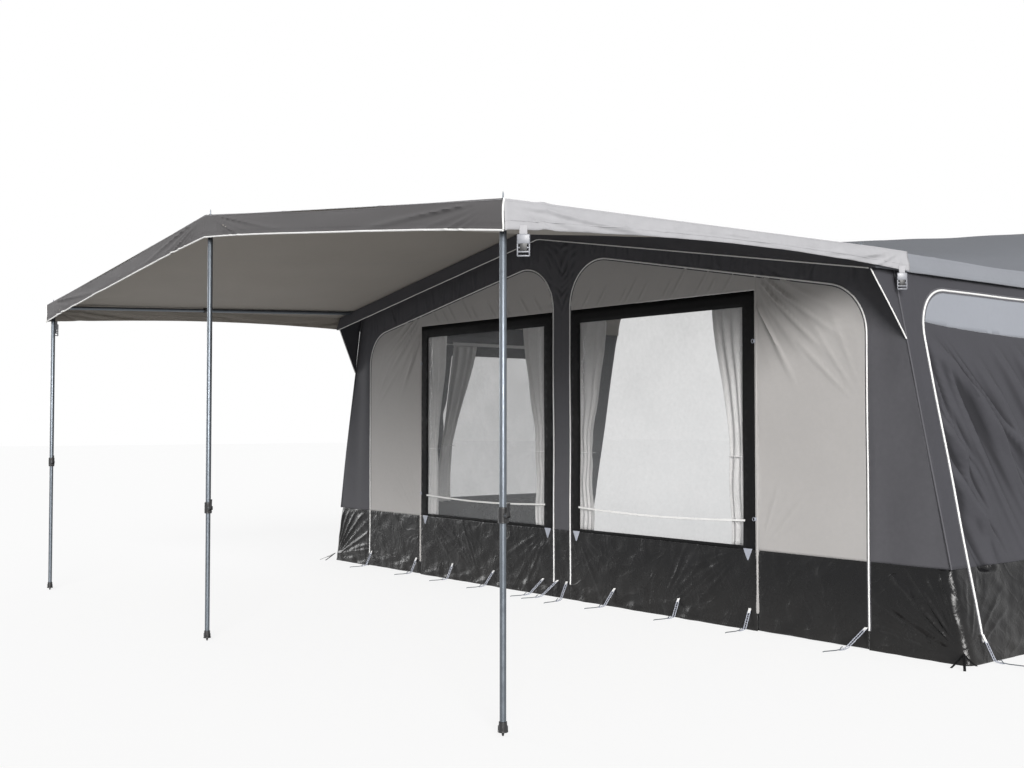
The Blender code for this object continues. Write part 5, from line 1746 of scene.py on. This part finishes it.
class AWNING_OT_fittings(bpy.types.Operator):
    """Add the buckles, pegging ladders, hooks, straps and eyelets"""

    bl_idname = "awning.fittings"
    bl_label = "Fittings"

    def execute(self, context):
        """Build the small fittings."""
        self.buckles()
        self.ladders()
        self.hooks()
        self.corners()
        self.eyelets()
        return {"FINISHED"}

    def buckles(self):
        """Side-release buckles under the canopy's corners."""
        buckles, webs = Shape(), Shape()
        points = grids["canopy_sheet"]
        for side, column in ((-1, 0), (1, -1)):
            turn = Matrix.Rotation(side * math.radians(48), 4, "Z")
            for y in (front_y + 0.08, wall_y - 0.015):
                row = int(np.argmin(np.abs(points[:, column, 1] - y)))
                x, y, z = points[row, column]
                at = Matrix.Translation((x + side * 0.012, y - 0.004, z + 0.004))
                self.buckle(buckles, webs, at @ turn @ Matrix.Scale(1.2, 4))
        trim(buckles.make("buckles", [look("buckle_plastic"), look("black_plastic")]))
        webs.trim("buckle_webs", "canopy_cloth", "canopy_roof")

    def buckle(self, buckles, webs, place):
        """One buckle that hangs from a short web; its width runs along x."""
        webs.block((-0.0125, -0.0012, -0.022), (0.0125, 0.0012, 0.010), place, 0, 0.0008)
        buckles.block((-0.021, -0.0045, -0.050), (0.021, 0.0045, -0.018), place, 0, 0.0032, 3)
        for sign in (-1, 1):
            low, high = sorted((sign * 0.0165, sign * 0.021))
            buckles.block((low, -0.0035, -0.088), (high, 0.0035, -0.048), place, 0, 0.0016, 2)
        for z in (-0.061, -0.074, -0.087):
            buckles.block((-0.019, -0.0028, z - 0.0026), (0.019, 0.0028, z + 0.0026), place, 0, 0.0014, 2)
        buckles.block((-0.0115, -0.0042, -0.072), (0.0115, -0.0030, -0.040), place, 1, 0.0004)

    def ladders(self):
        """Rubber ladders, their webs and the pegs that hold them."""
        spots = [(-2.38, 0.01), (-1.73, 0.0), (-1.25, 0.0), (-0.745, -0.02), (-0.196, -0.04),
                 (-0.05, -0.05), (0.05, 0.06), (0.506, -0.02), (1.07, 0.0), (1.62, 0.0), (2.387, -0.05)]
        kinds = bands, webs, pegs, rungs = Shape(), Shape(), Shape(), []
        for number, (x, shift) in enumerate(spots):
            lift = front_lift(np.array([x]), np.array([0.09]))[0]
            top = np.array((x, wall_y - lift - 0.005, 0.108))
            foot = np.array((x + shift, wall_y - 0.050 - abs(shift), 0.010))
            away = np.array((-0.16 + 0.05 * math.sin(2.3 * number) + 2 * shift, -1, 0))
            self.ladder(kinds, top, foot, away, np.array((1.0, 0, 0)))
        for side in (-1, 1):
            plane = side_plane(side)
            for u, shift in ((sizes().side_zip, 0.02), (0.95, 0.0), (1.75, 0.01), (2.55, -0.02)):
                top = plane[0] + u * plane[1] + 0.108 * plane[2] + 0.014 * plane[3]
                foot = plane[0] + (u + shift) * plane[1] + np.array((side * 0.030, 0, 0.010))
                self.ladder(kinds, top, foot, np.array((side, 0.2, 0)), plane[1])
        bands.trim("ladder_bands", "fitting_plastic", "awning_leg_lower_left")
        repeat("ladder_rungs", rungs, "fitting_plastic", 0.0135, 0.017, 0.0017, 8,
               True)
        webs.trim("ladder_webs", "piping_cloth", "curtains_front_left")
        pegs.trim("pegs", "zinc", "awning_front_rail_left")

    def ladder(self, kinds, top, foot, away, across):
        """One ladder from its web at the skirt to its peg on the ground."""
        bands, webs, pegs, rungs = kinds
        away = away / np.linalg.norm(away)
        tip = foot + away * 0.045 + np.array((0, 0, -0.005))
        t = np.linspace(0, 1, 9)[:, None]
        bend = foot + np.array((0, 0, -0.004))
        curve = (1 - t) ** 2 * (top + (foot - top) * 0.9) + 2 * t * (1 - t) * bend + t * t * tip
        path = np.concatenate((top + (foot - top) * t[:-1] * 0.9, curve))
        step = np.gradient(path, axis=0)
        up = np.cross(across, step)
        up *= np.where(np.sum(up * (away + np.array((0, 0, 1))), 1) < 0, -1, 1)[:, None]
        for shift in (-0.0085, 0.0085):
            bands.sweep(path + across * shift, rounded_ring(0.0021, 0.0016, 0.0007), up)
        rungs.append(path[1:])
        rise = top - foot
        rise /= np.linalg.norm(rise)
        web = [top + rise * 0.030, top + rise * 0.012, top, top - rise * 0.012]
        webs.sweep(web, strip_ring(0.0095, 0.0026), up[0])
        level = np.array((0, 0, 1))
        back = tip - away * 0.022
        rod = [back + level * 0.013 - across * 0.004, back + level * 0.016,
               back + away * 0.008 + level * 0.013, back + away * 0.016 + level * 0.003,
               tip + away * 0.02, tip + away * 0.09, tip + away * 0.10 - level * 0.002]
        pegs.tube(rod, 0.0025, across, turns=10)

    def hooks(self):
        """Small silver loops on the windows' zips."""
        loops = Shape()
        for _, side in sides:
            for z in (0.63, 1.64):
                x = side * (sizes().window_zip - 0.009)
                lift = front_lift(np.array([x]), np.array([z]))[0]
                at = np.array((x, wall_y - lift - 0.006, z))
                ring = [at + np.array((0.009 * math.cos(a) - side * 0.011, -0.002, 0.011 * math.sin(a)))
                        for a in np.linspace(0, 2 * math.pi, 17)[:-1]]
                loops.tube(ring, 0.0014, (0, -1, 0), turns=6, closed=True)
                place = Matrix.Translation(at)
                loops.block((-0.006, -0.003, -0.009), (0.006, 0.003, 0.009), place, 0, 0.0018)
        loops.trim("zip_hooks", "fitting_plastic", "window_frame_left")

    def corners(self):
        """Black tie straps at the front corners' feet."""
        straps = Shape()
        for _, side in sides:
            corner = np.array((side * (wall_x(0.06) - 0.01), wall_y - 0.012, 0.06))
            for reach, turn, rise in ((0.13, -58, 0.004), (0.09, -20, 0.02), (0.10, -95, 0.006)):
                angle = math.radians(turn)
                away = np.array((side * math.cos(angle), math.sin(angle), 0))
                tip = corner + away * reach
                tip[2] = rise
                middle = corner + away * reach * 0.5
                middle[2] = 0.028
                t = np.linspace(0, 1, 12)[:, None]
                path = (1 - t) ** 2 * corner + 2 * t * (1 - t) * middle + t * t * tip
                straps.sweep(path, strip_ring(0.0065, 0.0018), (0, 0, 1))
        straps.trim("corner_straps", "window_cloth", "window_frame_left")

    def eyelets(self):
        """Eyelets where the legs' spikes come through."""
        rings = Shape()
        for kind in ("canopy", "awning"):
            for word in leg_names:
                x, y, _ = middle_of(kind + "_leg_upper_" + word)
                if kind == "awning":
                    y = wall_y + leg_behind
                z = float(canopy_z(np.array([x]), np.array([y]))[0]) + 0.002
                rings.lathe([(0.0042, 0.0022), (0.0070, 0.0026), (0.0095, 0.0014), (0.0098, -0.0004),
                             (0.0042, -0.0010)], Matrix.Translation((x, y, z)), 0, 28, closed=True)
        rings.trim("eyelets", "zinc", "canopy_front_rail_left")


class AWNING_OT_stage(bpy.types.Operator):
    """Set the floor, the light and the camera"""

    bl_idname = "awning.stage"
    bl_label = "Stage"

    def execute(self, context):
        """Build the pale floor, the soft lights and the photograph's camera."""
        scene = context.scene
        scene.view_settings.view_transform = "Standard"
        self.floor()
        self.world(scene)
        self.lamps()
        data = bpy.data.cameras.new("camera")
        data.sensor_width = 36
        data.lens = 1210.5 / 1024 * 36
        data.clip_end = 200
        camera = bpy.data.objects.new("camera", data)
        camera.location = (6.154, -5.387 + wall_y, 1.1675)
        camera.rotation_euler = (math.radians(91.9), 0, math.radians(51.16))
        scene.collection.objects.link(camera)
        scene.camera = camera
        return {"FINISHED"}

    def seen(self, tree):
        """1 for rays that see the background straight, in a mirror or through glass."""
        path = tree.nodes.new("ShaderNodeLightPath")
        total = maths(tree, "MAXIMUM", path.outputs["Is Camera Ray"], path.outputs["Is Glossy Ray"])
        return maths(tree, "MAXIMUM", total, path.outputs["Is Transmission Ray"])

    def floor(self):
        """A pale floor that keeps a soft shadow."""
        mesh = bpy.data.meshes.new("floor")
        reach = 60
        corners = [(-reach, -reach, 0), (reach, -reach, 0), (reach, reach, 0), (-reach, reach, 0)]
        mesh.from_pydata(corners, [], [(0, 1, 2, 3)])
        material = bpy.data.materials.new("floor")
        material.use_nodes = True
        tree = material.node_tree
        shader = tree.nodes["Principled BSDF"]
        shader.inputs["Base Color"].default_value = (0.5, 0.5, 0.5, 1)
        shader.inputs["Roughness"].default_value = 0.9
        shader.inputs["Specular IOR Level"].default_value = 0.1
        glow = tree.nodes.new("ShaderNodeEmission")
        glow.inputs["Color"].default_value = (1, 1, 1, 1)
        glow.inputs["Strength"].default_value = 1.3
        mix = tree.nodes.new("ShaderNodeMixShader")
        tree.links.new(maths(tree, "MULTIPLY", self.seen(tree), 0.62), mix.inputs[0])
        tree.links.new(shader.outputs[0], mix.inputs[1])
        tree.links.new(glow.outputs[0], mix.inputs[2])
        tree.links.new(mix.outputs[0], tree.nodes["Material Output"].inputs[0])
        link("floor", mesh, [material])

    def world(self, scene):
        """Soft even light with a white background."""
        world = bpy.data.worlds.new("studio")
        world.use_nodes = True
        scene.world = world
        tree = world.node_tree
        soft = tree.nodes["Background"]
        soft.inputs[0].default_value = (0.96, 0.98, 1.0, 1)
        soft.inputs[1].default_value = 0.36
        white = tree.nodes.new("ShaderNodeBackground")
        white.inputs[0].default_value = (1, 1, 1, 1)
        mix = tree.nodes.new("ShaderNodeMixShader")
        tree.links.new(self.seen(tree), mix.inputs[0])
        tree.links.new(soft.outputs[0], mix.inputs[1])
        tree.links.new(white.outputs[0], mix.inputs[2])
        tree.links.new(mix.outputs[0], tree.nodes["World Output"].inputs[0])

    def lamps(self):
        """A wide soft light from the front right and a weak one from the left."""
        for name, energy, spread, colour, lean, turn in (("key", 4.3, 24, (1.0, 0.985, 0.97), 73, 57),
                                                         ("fill", 0.6, 20, (1.0, 1.0, 1.0), 80, -72)):
            data = bpy.data.lights.new(name, "SUN")
            data.energy, data.angle, data.color = energy, math.radians(spread), colour
            lamp = bpy.data.objects.new(name, data)
            lamp.rotation_euler = (math.radians(lean), 0, math.radians(turn))
            bpy.context.scene.collection.objects.link(lamp)


class AWNING_PT_panel(bpy.types.Panel):
    """Sidebar panel that lists the awning's parts"""

    bl_label = "Awning"
    bl_idname = "AWNING_PT_panel"
    bl_space_type = "VIEW_3D"
    bl_region_type = "UI"
    bl_category = "Awning"

    def draw(self, context):
        """List the operators, then the sizes and colours."""
        for kind in operators:
            self.layout.operator(kind.bl_idname)
        for group in (context.scene.awning_sizes, context.scene.awning_colours):
            for key in group.__annotations__:
                self.layout.prop(group, key)


operators = (AWNING_OT_materials, AWNING_OT_canopy, AWNING_OT_roof, AWNING_OT_surround, AWNING_OT_windows,
             AWNING_OT_doors, AWNING_OT_sides, AWNING_OT_curtains, AWNING_OT_legs, AWNING_OT_poles,
             AWNING_OT_zips, AWNING_OT_stitches, AWNING_OT_fittings, AWNING_OT_stage)
classes = (AwningSizes, AwningColours) + operators + (AWNING_PT_panel,)


def register():
    """Add the classes and the settings to Blender."""
    for kind in classes:
        bpy.utils.register_class(kind)
    bpy.types.Scene.awning_sizes = bpy.props.PointerProperty(type=AwningSizes)
    bpy.types.Scene.awning_colours = bpy.props.PointerProperty(type=AwningColours)


def unregister():
    """Take them away again."""
    del bpy.types.Scene.awning_colours
    del bpy.types.Scene.awning_sizes
    for kind in reversed(classes):
        bpy.utils.unregister_class(kind)


def main():
    """Build every part."""
    register()
    for kind in operators:
        group, name = kind.bl_idname.split(".")
        getattr(getattr(bpy.ops, group), name)()
    bpy.context.view_layer.update()


if __name__ == "__main__":
    main()
